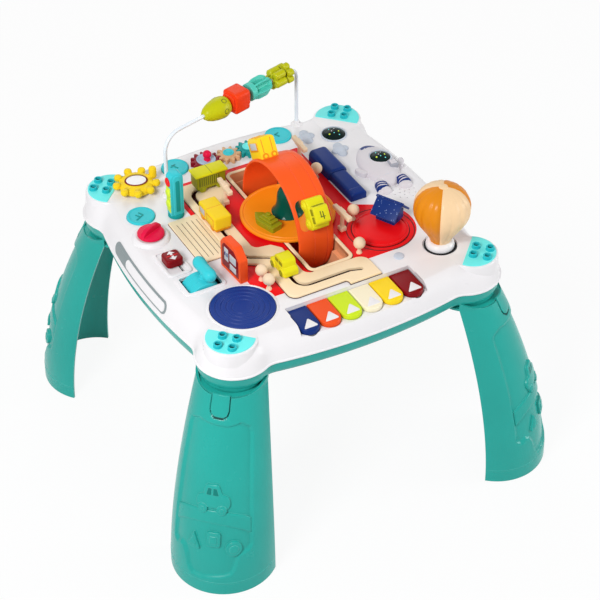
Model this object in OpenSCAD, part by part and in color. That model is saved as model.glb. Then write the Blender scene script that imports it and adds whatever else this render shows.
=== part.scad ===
// Musical activity table: a white play deck on a shallow pan, carried by four splayed legs.
// Origin: centre of the footprint on the floor. +X right, +Y away from the piano keys, +Z up.

/* [Casing] */
// Height of the play deck above the floor
deck_z = 290; // [280:1:310]
// Height of the white casing's side, from its lip up to the deck
side_h = 31; // [30:1:34]
// Half width of the casing at the middle of a side
side_half = 192; // [190:1:196]
// How far a side draws in from its middle to the corner bulge
side_sag = 9.5; // [8:0.5:11]
// How far each corner bulge's centre stands in from the sides' middle
corner_in = 46; // [44:1:48]
// Radius of the corner bulges at the lip
corner_r = 43.5; // [43:0.5:45]
// Radius that blends a side into a corner bulge
blend_r = 22; // [18:1:26]
// Wall thickness of the white casing
wall = 2.6; // [2.2:0.1:3]
// Depth of the teal pan below the lip
pan_h = 20; // [19:1:22]
// Wall thickness of the pan
pan_wall = 2.6; // [2.2:0.1:3]

/* [Legs] */
// How far a leg's section centre stands in from the sides' middle at the floor
foot_in = 9; // [4:1:16]
// How far a leg's section centre stands in from the sides' middle at its top
leg_in = 43; // [42:0.5:44]
// Outer radius of a leg's section at the floor
foot_r = 61.5; // [58:0.5:64]
// Outer radius of a leg's section at its top
leg_r = 40.5; // [40:0.5:42]
// Half of the angle that a leg's wall wraps
leg_sweep = 87.5; // [80:0.5:90]
// Wall thickness of a leg
leg_wall = 3; // [2.5:0.1:3.5]
// Height of a leg's shelf under the corner socket, below the pan's floor
shelf_drop = 3; // [2:0.5:4]
// Radius of the spigot on top of each leg
spigot_r = 14; // [12:0.5:16]
// Length of the spigot
spigot_h = 13; // [10:1:14]

/* [Stud plates] */
// Pitch of the building-block studs
stud_pitch = 16; // [15.8:0.1:16.2]
// Radius of a stud
stud_r = 4.7; // [4.5:0.05:4.8]
// Height of a stud
stud_h = 4.5; // [4:0.1:5]
// Radius of the half-moon plate
moon_r = 27; // [26:0.5:28]

/* [Wheel and well] */
// Outer radius of the big ring wheel
ring_r = 70; // [69:0.5:71]
// Thickness of the ring's band
band_t = 3.2; // [2.8:0.1:3.6]
// Width of the ring's band
ring_w = 45; // [43:0.5:46]
// Radius that the ring's vehicles sweep
sweep_r = 97; // [95:0.5:98]
// Inner half length of the well
well_r = 101.5; // [100.5:0.5:103]
// Inner width of the well
well_w = 49; // [48.5:0.5:51]
// Height of the ring's axis above the deck
ring_up = 4; // [3:0.5:5]
// Radius of the turntable
table_r = 55; // [53:0.5:57]

/* [Keys and pads] */
// Distance between neighbouring piano keys
key_pitch = 26.1; // [25.8:0.1:26.4]
// Width of one key
key_w = 24.6; // [24:0.1:25]
// Length of a key from its back edge to its round front
key_len = 41; // [39:0.5:42]
// Thickness of a key
key_t = 5; // [4:0.5:5.5]
// Radius of the drum pad
drum_r = 36; // [34:0.5:37]
// Radius of a round push button
button_r = 16.5; // [15:0.5:17]
// Travel of a push button
button_travel = 2; // [1.5:0.25:2.5]

/* [Gears] */
// Size of the gear teeth: pitch diameter over tooth count
gear_m = 2.6; // [2.5:0.05:2.7]
// Thickness of the gears
gear_t = 5; // [4:0.5:6]
// Radius of the pins that the gears turn on
gear_pin_r = 3; // [2.5:0.1:3.5]

/* [Toys on the deck] */
// Largest radius of the balloon
balloon_r = 32.5; // [31:0.5:33]
// Height of the balloon's widest point above the deck
balloon_up = 49; // [47:1:52]
// Radius of the house disc
disc_r = 32.5; // [31:0.5:33]
// Radius of a tree's ball
tree_r = 7; // [6:0.5:8]
// Height of the traffic light above the deck
light_h = 66; // [60:1:70]
// Radius of the bead wire
wire_r = 2.3; // [2:0.1:2.6]
// Height of the bead wire's straight top above the deck
wire_up = 82; // [78:1:86]
// Inside corner radius of the bead wire
wire_bend = 22; // [18:1:26]
// Radius of the round lens in the sky
lens_r = 15.5; // [14:0.5:16]

/* [Fits] */
// Running clearance between a pin and its bore
run = 0.08; // [0.05:0.01:0.1]
// Small gap between moving faces
gap = 0.3; // [0.25:0.05:0.4]
// Side clearance of loose moving parts
play = 0.6; // [0.5:0.05:0.8]

/* [Hidden] */

// ---- heights ----
lip_z = deck_z - side_h;
under_z = deck_z - wall;
pan_z = lip_z - pan_h;
shelf_z = pan_z - shelf_drop;
panel_t = 2;
panel_top = deck_z + 0.5;
road_t = 3;
road_top = panel_top + road_t;

// ---- places on the deck, [x, y] ----
ring_p = [3.5, 6.5];
drum_p = [-118, -115];
disc_p = [83, -68];
balloon_p = [127.7, -124];
star_p = [-126, 138];
light_p = [-108, 69.5];
knob_p = [-151.5, 45];
switch_p = [-151, -9];
lever_p = [-138.5, -54];
slider_p = [90.5, 42];
sky_p = [131, 123];
visor_p = [149, 43.5];
speaker_p = [146, -18];
button_p = [[-145, 86], [-69, 153], [70, 153]];
gear_y = 142;
gear_n = [13, 10, 10];
gear_x = [
    -gear_m * (gear_n[0] + gear_n[1]) / 2 - 3,
    -3,
    gear_m * (gear_n[1] + gear_n[2]) / 2 - 3,
];
wire_a = [-100, 109];
wire_b = [102, 164.5];
tree_p = [[40.5, -93], [65.5, -36.5], [68.5, 55], [-78, -83], [-78.5, -101]];
sign_p = [[45.4, -45.7, 20], [-47.3, 60.5, -60], [66, 92, 35]];

// ---- curves ----
function arc(c, r, a0, a1, n) =
    [for (i = [0:n]) let (a = a0 + (a1 - a0) * i / n) c + r * [cos(a), sin(a)]];

function turned(pts, a) =
    [for (p = pts) [p[0] * cos(a) - p[1] * sin(a), p[0] * sin(a) + p[1] * cos(a)]];

// The casing's plan: bowed sides, round corner bulges and the small blends between them.
belly_x = 112;
belly_r = (belly_x * belly_x + side_sag * side_sag) / (2 * side_sag);
belly_c = [0, side_half - belly_r];
corner_c = side_half - corner_in;
foot_c = side_half - foot_in;
leg_c = side_half - leg_in;
bulge_c = [corner_c, corner_c];
blend_c =
    let (
        d = norm(bulge_c - belly_c),
        u = (bulge_c - belly_c) / d,
        ra = belly_r + blend_r,
        rb = corner_r + blend_r,
        a = (ra * ra - rb * rb + d * d) / (2 * d),
        h = sqrt(ra * ra - a * a)
    )
    belly_c + a * u + h * [-u[1], u[0]];
belly_a = atan2(blend_c[1] - belly_c[1], blend_c[0]);
bulge_a = atan2(blend_c[1] - corner_c, blend_c[0] - corner_c);
blend_a = (belly_a + bulge_a) / 2 + 180;

// Casing outline moved inwards by d.
function casing(d) =
    let (
        blend = blend_c + (blend_r + d) * [cos(blend_a), sin(blend_a)],
        side = concat(
            [[blend[1], blend[0]]],
            arc(bulge_c, corner_r - d, 90 - bulge_a, bulge_a, 6),
            [blend],
            arc(belly_c, belly_r - d, belly_a, 180 - belly_a, 4)
        )
    )
    [for (k = [0:3]) for (p = turned(side, 90 * k)) p];

// Solid through a stack of anticlockwise rings, each [outline, height], lowest first.
module stack(rings) {
    n = len(rings[0][0]);
    m = len(rings);
    points = [for (r = rings) for (p = r[0]) [p[0], p[1], r[1]]];
    sides = [
        for (j = [0:m - 2]) for (i = [0:n - 1])
            let (k = (i + 1) % n)
            each [
                [j * n + i, (j + 1) * n + k, j * n + k],
                [j * n + i, (j + 1) * n + i, (j + 1) * n + k],
            ]
    ];
    polyhedron(
        points,
        concat(sides, [[for (i = [0:n - 1]) i], [for (i = [n - 1:-1:0]) (m - 1) * n + i]])
    );
}

module at(p, z = 0) {
    translate([p[0], p[1], z]) children();
}

// Plate with rounded corners, centred on p.
module soft_plate(p, size, r, z, t) {
    at(p, z) linear_extrude(t) soft_rect(size, r);
}

module soft_rect(size, r) {
    hx = size[0] / 2 - r;
    hy = size[1] / 2 - r;
    polygon(concat(
        arc([hx, hy], r, 0, 90, 6), arc([-hx, hy], r, 90, 180, 6),
        arc([-hx, -hy], r, 180, 270, 6), arc([hx, -hy], r, 270, 360, 6)
    ));
}

module tube(r, inner, z, h) {
    translate([0, 0, z]) difference() {
        cylinder(r = r, h = h, $fn = 64);
        translate([0, 0, -1]) cylinder(r = inner, h = h + 2, $fn = 64);
    }
}

// ---- the track and its slot ----
slot_w = 4;
channel_w = 10;
slot_x1 = -77;
slot_x2 = -49;
slot_y1 = 97;
slot_y2 = -118;
// Centre line of the slot from the wagon's stretch round to the front.
slot_line = concat(
    [[-40, slot_y1]],
    arc([slot_x1 + 13, slot_y1 - 13], 13, 90, 180, 5),
    arc([slot_x1 + 9, -37], 9, 180, 243, 3),
    arc([slot_x2 - 9, -63], 9, 63, 0, 3),
    arc([slot_x2 + 14, slot_y2 + 14], 14, 180, 270, 5),
    [[14, slot_y2], [26, slot_y2 - 4]]
);

// Unit direction of the slot's line at its point i.
function slot_dir(i) =
    let (n = len(slot_line) - 1, d = slot_line[min(n, i + 1)] - slot_line[max(0, i - 1)])
    d / norm(d);

module slot_path(w) {
    n = len(slot_line) - 1;
    a0 = atan2(slot_dir(0)[1], slot_dir(0)[0]);
    a1 = atan2(slot_dir(n)[1], slot_dir(n)[0]);
    left = [for (i = [1:n - 1]) slot_line[i] + w / 2 * [-slot_dir(i)[1], slot_dir(i)[0]]];
    right = [for (i = [n - 1:-1:1]) slot_line[i] - w / 2 * [-slot_dir(i)[1], slot_dir(i)[0]]];
    polygon(concat(
        arc(slot_line[0], w / 2, a0 + 270, a0 + 90, 5), left,
        arc(slot_line[n], w / 2, a1 + 90, a1 - 90, 5), right
    ));
}

road_edge = concat(
    [[-88, 112], [-88, -47], [-66, -62]],
    arc([-56, -120], 10, 180, 270, 4),
    [[4, -130], [4, -137.5], [43, -137.5]],
    arc([30, -114], 13, 0, 90, 4),
    [[-22, -101]],
    arc([-22, -91], 10, 270, 180, 3),
    [[-32, -46], [-41, -35]],
    arc([-53, -25], 8, 270, 180, 3),
    [[-61, 40], [-41, 76], [-28, 88], [-28, 112]]
);

module road_plan() {
    polygon(road_edge);
}

// Red panel: a block round the well and a round bay for the house disc.
bay_p = [83, -63.5];
bay_r = 43.5;
panel_edge = concat(
    [[-94, 120], [-94, 60], [-88, 58], [-88, -54], [-93, -60], [-93, -88]],
    [[-81, -103], [-81, -115], [20, -115], [20, -107]],
    arc(bay_p, bay_r, -90, 60, 12),
    [[84, -14], [77.5, -8], [77.5, 120]]
);

well_hw = well_w / 2;
well_t = 2.4;
rim_w = 4;

module well_plan(grow) {
    at(ring_p) soft_rect([well_w + 2 * grow, 2 * (well_r + grow)], 5 + grow);
}

// ---- white casing ----
// How far the casing's side stands in from the lip, with the height above the lip as a share.
side_curve = [[0, -0.1], [0, 0.04], [3, 0.28], [6.5, 0.63], [11.5, 0.9], [26.5, 1.1]];

// Stack of casing outlines that runs past both heights, cut level at them.
module level_stack(curve, low, high) {
    intersection() {
        stack([for (s = curve) [casing(s[0]), low + s[1] * (high - low)]]);
        translate([-2 * side_half, -2 * side_half, low]) cube([4 * side_half, 4 * side_half, high - low]);
    }
}

module casing_body() {
    level_stack(side_curve, lip_z, deck_z);
}

// Steps of the hollow: how far each stands in from the lip, and how far up it reaches.
hollow_steps = [[5.5, 0.45], [10, 0.8], [20, 1]];
boss_r = 29.5;
boss_c = side_half - 39.5;
collar_r = 22;
collar_h = 4.5;
frame_h = 2;
socket_r = 6;
socket_h = 5;
drum_rim = 2.2;
stem_r = 5;
key_top = deck_z - 4;
key_back = -141;
key_x0 = -79.5;
key_n = 6;
bed_z = deck_z - 13.5;
bed_w = key_n * key_pitch + 2;
bed_x = key_x0 + key_n * key_pitch / 2;
rod_r = 1.5;
rod_y = key_back + 7;
rod_z = key_top - 5.5;
cup_d = 1.4;
switch_size = [30, 48];
lever_size = [50, 36];
lever_cut = [41, 29];
lever_drop = 14;
lever_z = deck_z - lever_drop;
axle_r = 3;

module corner_spots(c) {
    for (sx = [-1, 1]) for (sy = [-1, 1]) at([sx * c, sy * c]) children();
}

module top_shell() {
    color("white") {
        difference() {
            union() {
                casing_body();
                corner_spots(boss_c)
                    translate([0, 0, lip_z + side_h / 2]) cylinder(r = boss_r, h = side_h / 2, $fn = 64);
                at(knob_p, deck_z) cylinder(r = collar_r, h = collar_h, $fn = 64);
                at(drum_p, deck_z - wall) cylinder(r = drum_r + play + drum_rim, h = wall + 1.2, $fn = 64);
                soft_plate(switch_p, switch_size, 5, deck_z - 1, 1 + frame_h);
                soft_plate(lever_p, lever_size, 5, deck_z - 1, 1 + frame_h);
                for (p = [wire_a, wire_b]) at(p, deck_z - 1) {
                    cylinder(r = socket_r, h = 3, $fn = 48);
                    cylinder(r = wire_r + 1.5, h = socket_h + 1, $fn = 48);
                }
            }
            shell_hollow();
            deck_holes();
        }
        deck_pins();
        under_bosses();
    }
}

module shell_hollow() {
    difference() {
        union() {
            for (s = hollow_steps)
                translate([0, 0, lip_z - 0.01]) linear_extrude(s[1] * side_h - wall) polygon(casing(s[0]));
        }
        corner_spots(boss_c) translate([0, 0, lip_z]) cylinder(r = boss_r, h = side_h, $fn = 64);
        key_bed_block();
        for (p = [wire_a, wire_b]) at(p, deck_z - 18) cylinder(r = wire_r + 3, h = 20, $fn = 48);
    }
    corner_spots(boss_c) translate([0, 0, lip_z - 0.01]) cylinder(r = boss_r - wall, h = side_h - wall, $fn = 64);
}

// Material left in the hollow so that the key bed has a floor and walls.
module key_bed_block() {
    translate([bed_x - bed_w / 2 - wall, key_back - key_len - 12, bed_z - wall])
        cube([bed_w + 2 * wall, key_len + 14, side_h]);
}

module deck_holes() {
    // key bed, open at the front
    translate([bed_x - bed_w / 2, key_back - key_len - 20, bed_z]) cube([bed_w, key_len + 20, side_h]);
    // window under the deck for the keys' tails
    translate([bed_x - bed_w / 2, key_back - 1, bed_z]) cube([bed_w, 4, key_top - bed_z + 0.5]);
    // wheel well and the panel's pocket
    translate([0, 0, deck_z - 20]) linear_extrude(30) well_plan(well_t + gap);
    translate([0, 0, panel_top - panel_t]) linear_extrude(10) polygon(panel_edge);
    translate([0, 0, deck_z - 10]) linear_extrude(20) slot_path(channel_w);
    at(disc_p, deck_z - 10) cylinder(r = stem_r + play, h = 20, $fn = 48);
    at(drum_p, deck_z - 10) cylinder(r = drum_r + play, h = 20, $fn = 64);
    for (p = button_p) {
        at(p, deck_z - 10) cylinder(r = button_r + gap, h = 20, $fn = 64);
        at(p, lip_z) cylinder(r = button_r + flange + 1, h = side_h - wall, $fn = 64);
    }
    at(knob_p, deck_z - 10) cylinder(r = stem_r + run, h = 30, $fn = 48);
    at(light_p, deck_z - 10) cylinder(r = stem_r + run, h = 30, $fn = 48);
    at(balloon_p, deck_z - 10) cylinder(r = stem_r + run, h = 30, $fn = 48);
    at(balloon_p, deck_z - cup_d) cylinder(r = 20, h = 10, $fn = 64);
    at(drum_p, lip_z) cylinder(r = drum_r + flange + 1, h = side_h - wall, $fn = 64);
    soft_plate([switch_p[0], switch_p[1] - 3], [6, 34], 3, deck_z - 10, 30);
    soft_plate(lever_p, lever_cut, 3, deck_z - 10, 30);
    for (s = [-1, 1]) at([slider_p[0], slider_p[1] + s * 30], deck_z - 10) cylinder(r = 2 + gap / 2, h = 20, $fn = 32);
    for (p = [wire_a, wire_b]) at(p, deck_z - 15) cylinder(r = wire_r + run, h = 40, $fn = 48);
    at(sky_p, deck_z - 10) cylinder(r = lens_r - 2, h = 20, $fn = 48);
    at(visor_p, deck_z - 10) cylinder(r = 9, h = 20, $fn = 48);
    speaker_holes(deck_z - 10, 20);
}

module speaker_holes(z, h) {
    for (k = [0:5]) at(speaker_p + 6.5 * [cos(60 * k), sin(60 * k)], z) cylinder(r = 1.1, h = h, $fn = 16);
    for (k = [0:9]) at(speaker_p + 13 * [cos(36 * k), sin(36 * k)], z) cylinder(r = 1.1, h = h, $fn = 16);
    at(speaker_p, z) cylinder(r = 1.1, h = h, $fn = 16);
}

pin_top = deck_z + gap + gear_t + 1.5;

// Posts on the deck that the gears and the star wheel turn on.
module deck_pins() {
    for (i = [0:2]) at([gear_x[i], gear_y], deck_z - 1) cylinder(r = gear_pin_r, h = pin_top - deck_z + 1, $fn = 48);
    at(star_p, deck_z - 1) {
        cylinder(r = gear_pin_r + 3, h = 3, $fn = 48);
        cylinder(r = gear_pin_r, h = 11, $fn = 48);
    }
}

screw_p = [[-120, 120], [120, 120], [120, -150], [-148, -80]];
screw_r = 1.6;

board_z = lip_z + 4;
board_t = 1.6;
board_x = [-118, -34];
board_y = [-60, 30];
ear_t = 3;

// Screw bosses, the circuit board's posts and the ears that hold the key rod.
module under_bosses() {
    for (p = screw_p) at(p, lip_z + 2) difference() {
        cylinder(r = 4.5, h = under_z - lip_z - 1, $fn = 32);
        translate([0, 0, -1]) cylinder(r = screw_r, h = 15, $fn = 24);
    }
    for (x = board_x) for (y = board_y)
        at([x, y] + 6 * [x < -70 ? 1 : -1, y < 0 ? 1 : -1], board_z + board_t)
            cylinder(r = 3, h = under_z + 1 - board_z - board_t, $fn = 32);
    for (s = [-1, 1]) difference() {
        translate([bed_x + s * (bed_w / 2 + ear_t / 2) - ear_t / 2, rod_y - 3, rod_z - 4])
            cube([ear_t, 5.2, under_z + 1 - rod_z + 4]);
        translate([bed_x - bed_w, rod_y, rod_z]) rotate([0, 90, 0]) cylinder(r = rod_r, h = 2 * bed_w, $fn = 32);
    }
    for (s = [-1, 1]) difference() {
        translate([lever_p[0] - 6, lever_p[1] + s * (lever_cut[1] + ear_t) / 2 - ear_t / 2, lever_z - 6])
            cube([12, ear_t, under_z + 1 - lever_z + 6]);
        translate([lever_p[0], lever_p[1], lever_z]) rotate([90, 0, 0])
            cylinder(r = axle_r, h = 2 * lever_cut[1], center = true, $fn = 32);
    }
}

// ---- teal pan ----
// How far the pan's side stands in from the casing's lip, with the height above its floor as a share.
pan_curve = [[22, -0.25], [8, 0.25], [0.6, 1.1]];
// Steps of the pan's hollow: how far each stands in, and the height above the floor it starts at.
pan_steps = [[14, 2.6], [9.6, 7.6], [6.8, 14]];

module pan_body() {
    level_stack(pan_curve, pan_z, lip_z);
}

pod_in = well_r + well_t + 1;
pod_t = 2.4;
axis_z = deck_z + ring_up;

module drum_x(r, w, z = 0) {
    translate([ring_p[0] - w / 2, ring_p[1], axis_z]) rotate([90, 0, 90]) cylinder(r = r, h = w, $fn = 96);
}

cell_r = 7;
cell_l = 48;
cell_p = [-80, 70];
cell_gap = 1.5;
box_w = 3 * (2 * cell_r + cell_gap) + 4;
box_l = cell_l + 6;

module base_pan() {
    color("mediumturquoise") difference() {
        union() {
            pan_body();
            intersection() {
                drum_x(pod_in + pod_t, well_w + 2 * (well_t + 1 + pod_t));
                translate([-100, -200, 0]) cube([200, 400, pan_z + pan_wall]);
            }
            corner_spots(leg_c) translate([0, 0, shelf_z]) cylinder(r = leg_r - leg_wall - gap, h = pan_z - shelf_z + 8, $fn = 64);
        }
        difference() {
            for (s = pan_steps) translate([0, 0, pan_z + s[1]]) linear_extrude(pan_h) polygon(casing(s[0]));
            corner_spots(leg_c) translate([0, 0, shelf_z]) cylinder(r = spigot_r + gap + pan_wall, h = spigot_h + 5, $fn = 48);
            for (p = screw_p) at(p, pan_z) cylinder(r = 4.5, h = lip_z + 2 - pan_z, $fn = 32);
            at(cell_p, pan_z) linear_extrude(2 * cell_r + 4) soft_rect([box_w + 4, box_l + 4], 2);
        }
        intersection() {
            drum_x(pod_in, well_w + 2 * (well_t + 1));
            translate([-100, -200, 0]) cube([200, 400, lip_z + 20]);
        }
        corner_spots(leg_c) translate([0, 0, shelf_z - 1]) cylinder(r = spigot_r + gap, h = spigot_h + 2, $fn = 48);
        for (p = screw_p) at(p, pan_z - 1) {
            cylinder(r = screw_r + 0.3, h = 40, $fn = 24);
            cylinder(r = 3.6, h = 8, $fn = 32);
        }
        at(cell_p, pan_z - 1) linear_extrude(2 * cell_r + 3) soft_rect([box_w, box_l], 1);
    }
}

// ---- legs ----
leg_top = pan_z + 6;

function leg_at(z) =
    let (t = min(1, z / shelf_z))
    [foot_c - (foot_c - leg_c) * pow(t, 1.8), foot_r - (foot_r - leg_r) * pow(t, 1.65)];

// Height of the leg's upper edge: high at both flanges, low in front of the socket.
function leg_edge(a) = shelf_z - 1 + (leg_top - shelf_z + 1) * pow(abs(a) / leg_sweep, 3);

module leg_shape() {
    na = 18;
    nz = 11;
    cols = 2 * (na + 1);
    angles = [for (i = [0:na]) -leg_sweep + 2 * leg_sweep * i / na];
    points = [
        for (j = [0:nz]) each [
            for (i = [0:cols - 1])
                let (
                    inner = i > na,
                    a = angles[inner ? cols - 1 - i : i],
                    z = leg_edge(a) * j / nz,
                    s = leg_at(z),
                    r = s[1] - (inner ? leg_wall : 0)
                )
                [s[0] + r * cos(45 + a), s[0] + r * sin(45 + a), z]
        ]
    ];
    sides = [
        for (j = [0:nz - 1]) for (i = [0:cols - 1])
            let (k = (i + 1) % cols)
            each [
                [j * cols + i, (j + 1) * cols + k, j * cols + k],
                [j * cols + i, (j + 1) * cols + i, (j + 1) * cols + k],
            ]
    ];
    ends = [
        for (i = [0:na - 1])
            let (b = cols - 1 - i, e = nz * cols)
            each [
                [i, i + 1, b - 1], [i, b - 1, b],
                [e + i, e + b - 1, e + i + 1], [e + i, e + b, e + b - 1],
            ]
    ];
    polyhedron(points, concat(sides, ends));
}

module leg() {
    color("mediumturquoise") {
        leg_shape();
        // shelf and spigot that the corner socket drops onto
        translate([leg_c, leg_c, shelf_z - 3]) cylinder(r = leg_r - leg_wall + 1.6, h = 3, $fn = 64);
        translate([leg_c, leg_c, shelf_z - 3]) cylinder(r = spigot_r, h = 3 + spigot_h, $fn = 48);
        leg_relief();
    }
}

// Latch tongue and the raised car on the leg's outer face.
module leg_relief() {
    face = leg_at(90);
    translate([face[0], face[0], 0]) rotate(45) translate([face[1] - 3, 0, 0]) {
        translate([0, 0, 92]) rotate([90, 0, 90]) linear_extrude(4) car_plan(34);
    }
}

module leg_front_left() rotate(180) leg();
module leg_front_right() rotate(-90) leg();
module leg_back_right() leg();
module leg_back_left() rotate(90) leg();

// ---- plain toy outlines, drawn from the side ----
module car_plan(l) {
    polygon(concat(
        [[-l / 2, 0], [-l / 2, l * 0.24]], arc([-l * 0.3, l * 0.3], l * 0.14, 150, 95, 2),
        arc([-l * 0.06, l * 0.36], l * 0.19, 150, 30, 4), arc([l * 0.32, l * 0.2], l * 0.17, 80, 0, 3),
        [[l / 2, 0]]
    ));
}

module wheels(l, w, r, z) {
    for (sx = [-1, 1]) for (sy = [-1, 1])
        translate([sx * l, sy * w / 2, z]) rotate([90, 0, 0]) cylinder(r = r, h = 2, center = true, $fn = 32);
}

module body_x(w) {
    rotate([90, 0, 0]) linear_extrude(w, center = true) children();
}

// ---- fixed pieces on the deck ----
module stud_plates() {
    cut = 5.5;
    color("turquoise") for (k = [0:3]) rotate(90 * k) at([boss_c, boss_c], deck_z) rotate(45) {
        difference() {
            linear_extrude(1.2) intersection() {
                circle(r = moon_r, $fn = 96);
                translate([-cut, -moon_r]) square([moon_r + cut, 2 * moon_r]);
            }
        }
        for (a = [0:3]) translate(moon_stud + stud_pitch / 2 * sqrt(2) * [cos(45 + 90 * a + 45), sin(45 + 90 * a + 45)])
            translate([0, 0, 1]) cylinder(r = stud_r, h = stud_h + 0.2, $fn = 48);
    }
}

// Centre of the studs on the plate, along the corner's diagonal.
stud_c = side_half - 32;
moon_stud = [(stud_c - boss_c) * sqrt(2), 0];

module play_panel() {
    color("red") difference() {
        translate([0, 0, panel_top - panel_t]) linear_extrude(panel_t) polygon(panel_edge);
        translate([0, 0, deck_z - 5]) linear_extrude(10) well_plan(well_t + gap);
        translate([0, 0, deck_z - 5]) linear_extrude(10) slot_path(channel_w);
        at(disc_p, deck_z - 5) cylinder(r = stem_r + run, h = 10, $fn = 48);
        for (p = concat(tree_p, sign_p)) at(p, deck_z - 5) cylinder(r = 2, h = 10, $fn = 24);
    }
}

module road_track() {
    color("moccasin") difference() {
        translate([0, 0, panel_top]) linear_extrude(road_t) road_plan();
        translate([0, 0, panel_top - 1]) linear_extrude(road_t + 2) slot_path(slot_w);
    }
}

rim_h = 1.6;

module wheel_well() {
    color("peachpuff") difference() {
        union() {
            intersection() {
                drum_x(well_r + well_t, well_w + 2 * well_t);
                translate([-100, -200, 0]) cube([200, 400, deck_z - 10]);
            }
            translate([0, 0, panel_top]) linear_extrude(rim_h) well_plan(rim_w);
            translate([0, 0, deck_z - 12]) linear_extrude(14) well_plan(well_t);
        }
        difference() {
            intersection() {
                drum_x(well_r, well_w);
                translate([-100, -200, 0]) cube([200, 400, deck_z - 10]);
            }
            ring_ledges();
        }
        translate([0, 0, deck_z - 12]) linear_extrude(30) well_plan(0);
        // seats of the turntable bridge
        translate([ring_p[0] - well_hw - 1.2, ring_p[1] - bridge_l / 2 - gap / 2, bridge_z]) cube([well_w + 2.4, bridge_l + gap, 30]);
    }
}

ledge_w = 5;

// Curved ledges that the ring's two edges ride on.
module ring_ledges() {
    for (s = [-1, 1]) translate([s * (well_hw - ledge_w / 2 + 1), 0, 0]) difference() {
        drum_x(well_r + 1, ledge_w + 2);
        drum_x(ring_r + gap, ledge_w + 4);
        translate([-100, -200, axis_z - 30]) cube([200, 400, 200]);
    }
}

bridge_l = 44;
bridge_t = 5;
bridge_z = deck_z - 6;
table_z = panel_top + rim_h + gap;
table_t = 4;

module turntable_bridge() {
    color("orange") difference() {
        union() {
            translate([ring_p[0] - well_hw - 1.1, ring_p[1] - bridge_l / 2, bridge_z]) cube([well_w + 2.2, bridge_l, bridge_t]);
            at(ring_p, bridge_z) cylinder(r = stem_r + 3, h = table_z - gap - bridge_z, $fn = 48);
        }
        at(ring_p, bridge_z - 1) cylinder(r = stem_r + run, h = 30, $fn = 48);
    }
}

board_a = [-124, -26];
board_b = [-88.3, 58];

module ribbed_board() {
    color("wheat") difference() {
        translate([board_a[0], board_a[1], deck_z]) cube([board_b[0] - board_a[0], board_b[1] - board_a[1], 2]);
        for (k = [0:3]) translate([-116.5 + 8 * k, -14, deck_z + 1.2]) cube([1, 66, 2]);
    }
}

label_l = 134;
label_h = 15;
label_y = 6;
label_z = deck_z - 17;
label_t = 1;

// How far the casing's side stands in at a height.
function side_in(z) = lookup((z - lip_z) / side_h, [for (s = side_curve) [s[1], s[0]]]);

// Pill-shaped plate that follows the casing's side.
module label_plate() {
    bends = [lip_z + side_curve[2][1] * side_h, lip_z + side_curve[3][1] * side_h];
    zs = [label_z - label_h / 2, bends[0], bends[1], label_z + label_h / 2];
    turn = 180 / PI * label_l / belly_r;
    color("darkgray") intersection() {
        translate([belly_r - side_half, 0, 0]) rotate(180 - turn / 2 - 180 / PI * label_y / belly_r)
            rotate_extrude(angle = turn, $fn = 360) polygon(concat(
                [for (z = zs) [belly_r - side_in(z) + label_t, z]],
                [for (k = [len(zs) - 1:-1:0]) [belly_r - side_in(zs[k]), zs[k]]]
            ));
        translate([-side_half - 10, label_y, label_z]) rotate([90, 0, 90]) linear_extrude(40)
            soft_rect([label_l - 2, label_h + 0.2], label_h / 2);
    }
}

relief_h = 9;
suit_p = [143, 38];

module sky_reliefs() {
    color("lavender") {
        difference() {
            at(suit_p, deck_z) {
                scale_disc(23, 43, relief_h);
                for (s = [-1, 1]) translate([s * 15.5, -40, 0]) cylinder(r = 8, h = 6, $fn = 32);
            }
            at(visor_p, deck_z - 1) cylinder(r = 9, h = relief_h + 4, $fn = 48);
        }
    }
    color("lightgray") {
        at([98, 134], deck_z) rotate(-70) cloud();
        at([121, 91], deck_z) rotate(-70) cloud();
    }
}

// Low dome on an egg-shaped plan, in three steps.
module scale_disc(rx, ry, h) {
    steps = [[1, 0], [0.96, 0.45], [0.84, 0.8], [0.6, 1]];
    stack([for (s = steps) [[for (i = [0:35]) let (a = 10 * i) [rx * s[0] * cos(a) * (1 + 0.1 * sin(a)), ry * s[0] * sin(a)]], h * s[1]]]);
}

module cloud() {
    linear_extrude(3) {
        circle(r = 9, $fn = 40);
        translate([7, -5]) circle(r = 6.5, $fn = 32);
        translate([-6, 5]) circle(r = 6, $fn = 32);
    }
}

module sky_lenses() {
    color("darkgreen", 0.5) {
        at(sky_p, deck_z) dome_cap(lens_r, 6);
        at(visor_p, deck_z + relief_h) dome_cap(14, 5);
    }
}

// Round cap of a sphere with base radius r and height h.
module dome_cap(r, h) {
    big = (r * r + h * h) / (2 * h);
    rotate_extrude($fn = 64) intersection() {
        translate([0, h - big]) circle(r = big, $fn = 96);
        square([r + 1, h + 1]);
    }
}

tree_up = 14;
sign_h = 26;

module scenery_pegs() {
    color("wheat") {
        for (p = tree_p) at(p, deck_z) {
            translate([0, 0, panel_top - panel_t - deck_z]) cylinder(r = 1.9, h = 10, $fn = 24);
            translate([0, 0, panel_top - deck_z]) cylinder(r = 3.2, h = 2, $fn = 24);
            translate([0, 0, tree_up]) sphere(r = tree_r, $fn = 48);
        }
        for (p = sign_p) at(p, panel_top - panel_t) {
            cylinder(r = 1.9, h = sign_h + 2, $fn = 24);
            translate([0, 0, sign_h - 6]) rotate(p[2]) translate([3, 0, 0]) arrow_board();
            translate([0, 0, sign_h]) rotate(p[2] + 150) translate([3, 0, 0]) arrow_board();
        }
    }
}

module arrow_board() {
    rotate([90, 0, 0]) linear_extrude(2.6, center = true) polygon([[-9, -3], [7, -3], [11, 0], [7, 3], [-9, 3]]);
}

pump_p = [-98.3, -57.5];
pump_h = 42;

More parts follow.
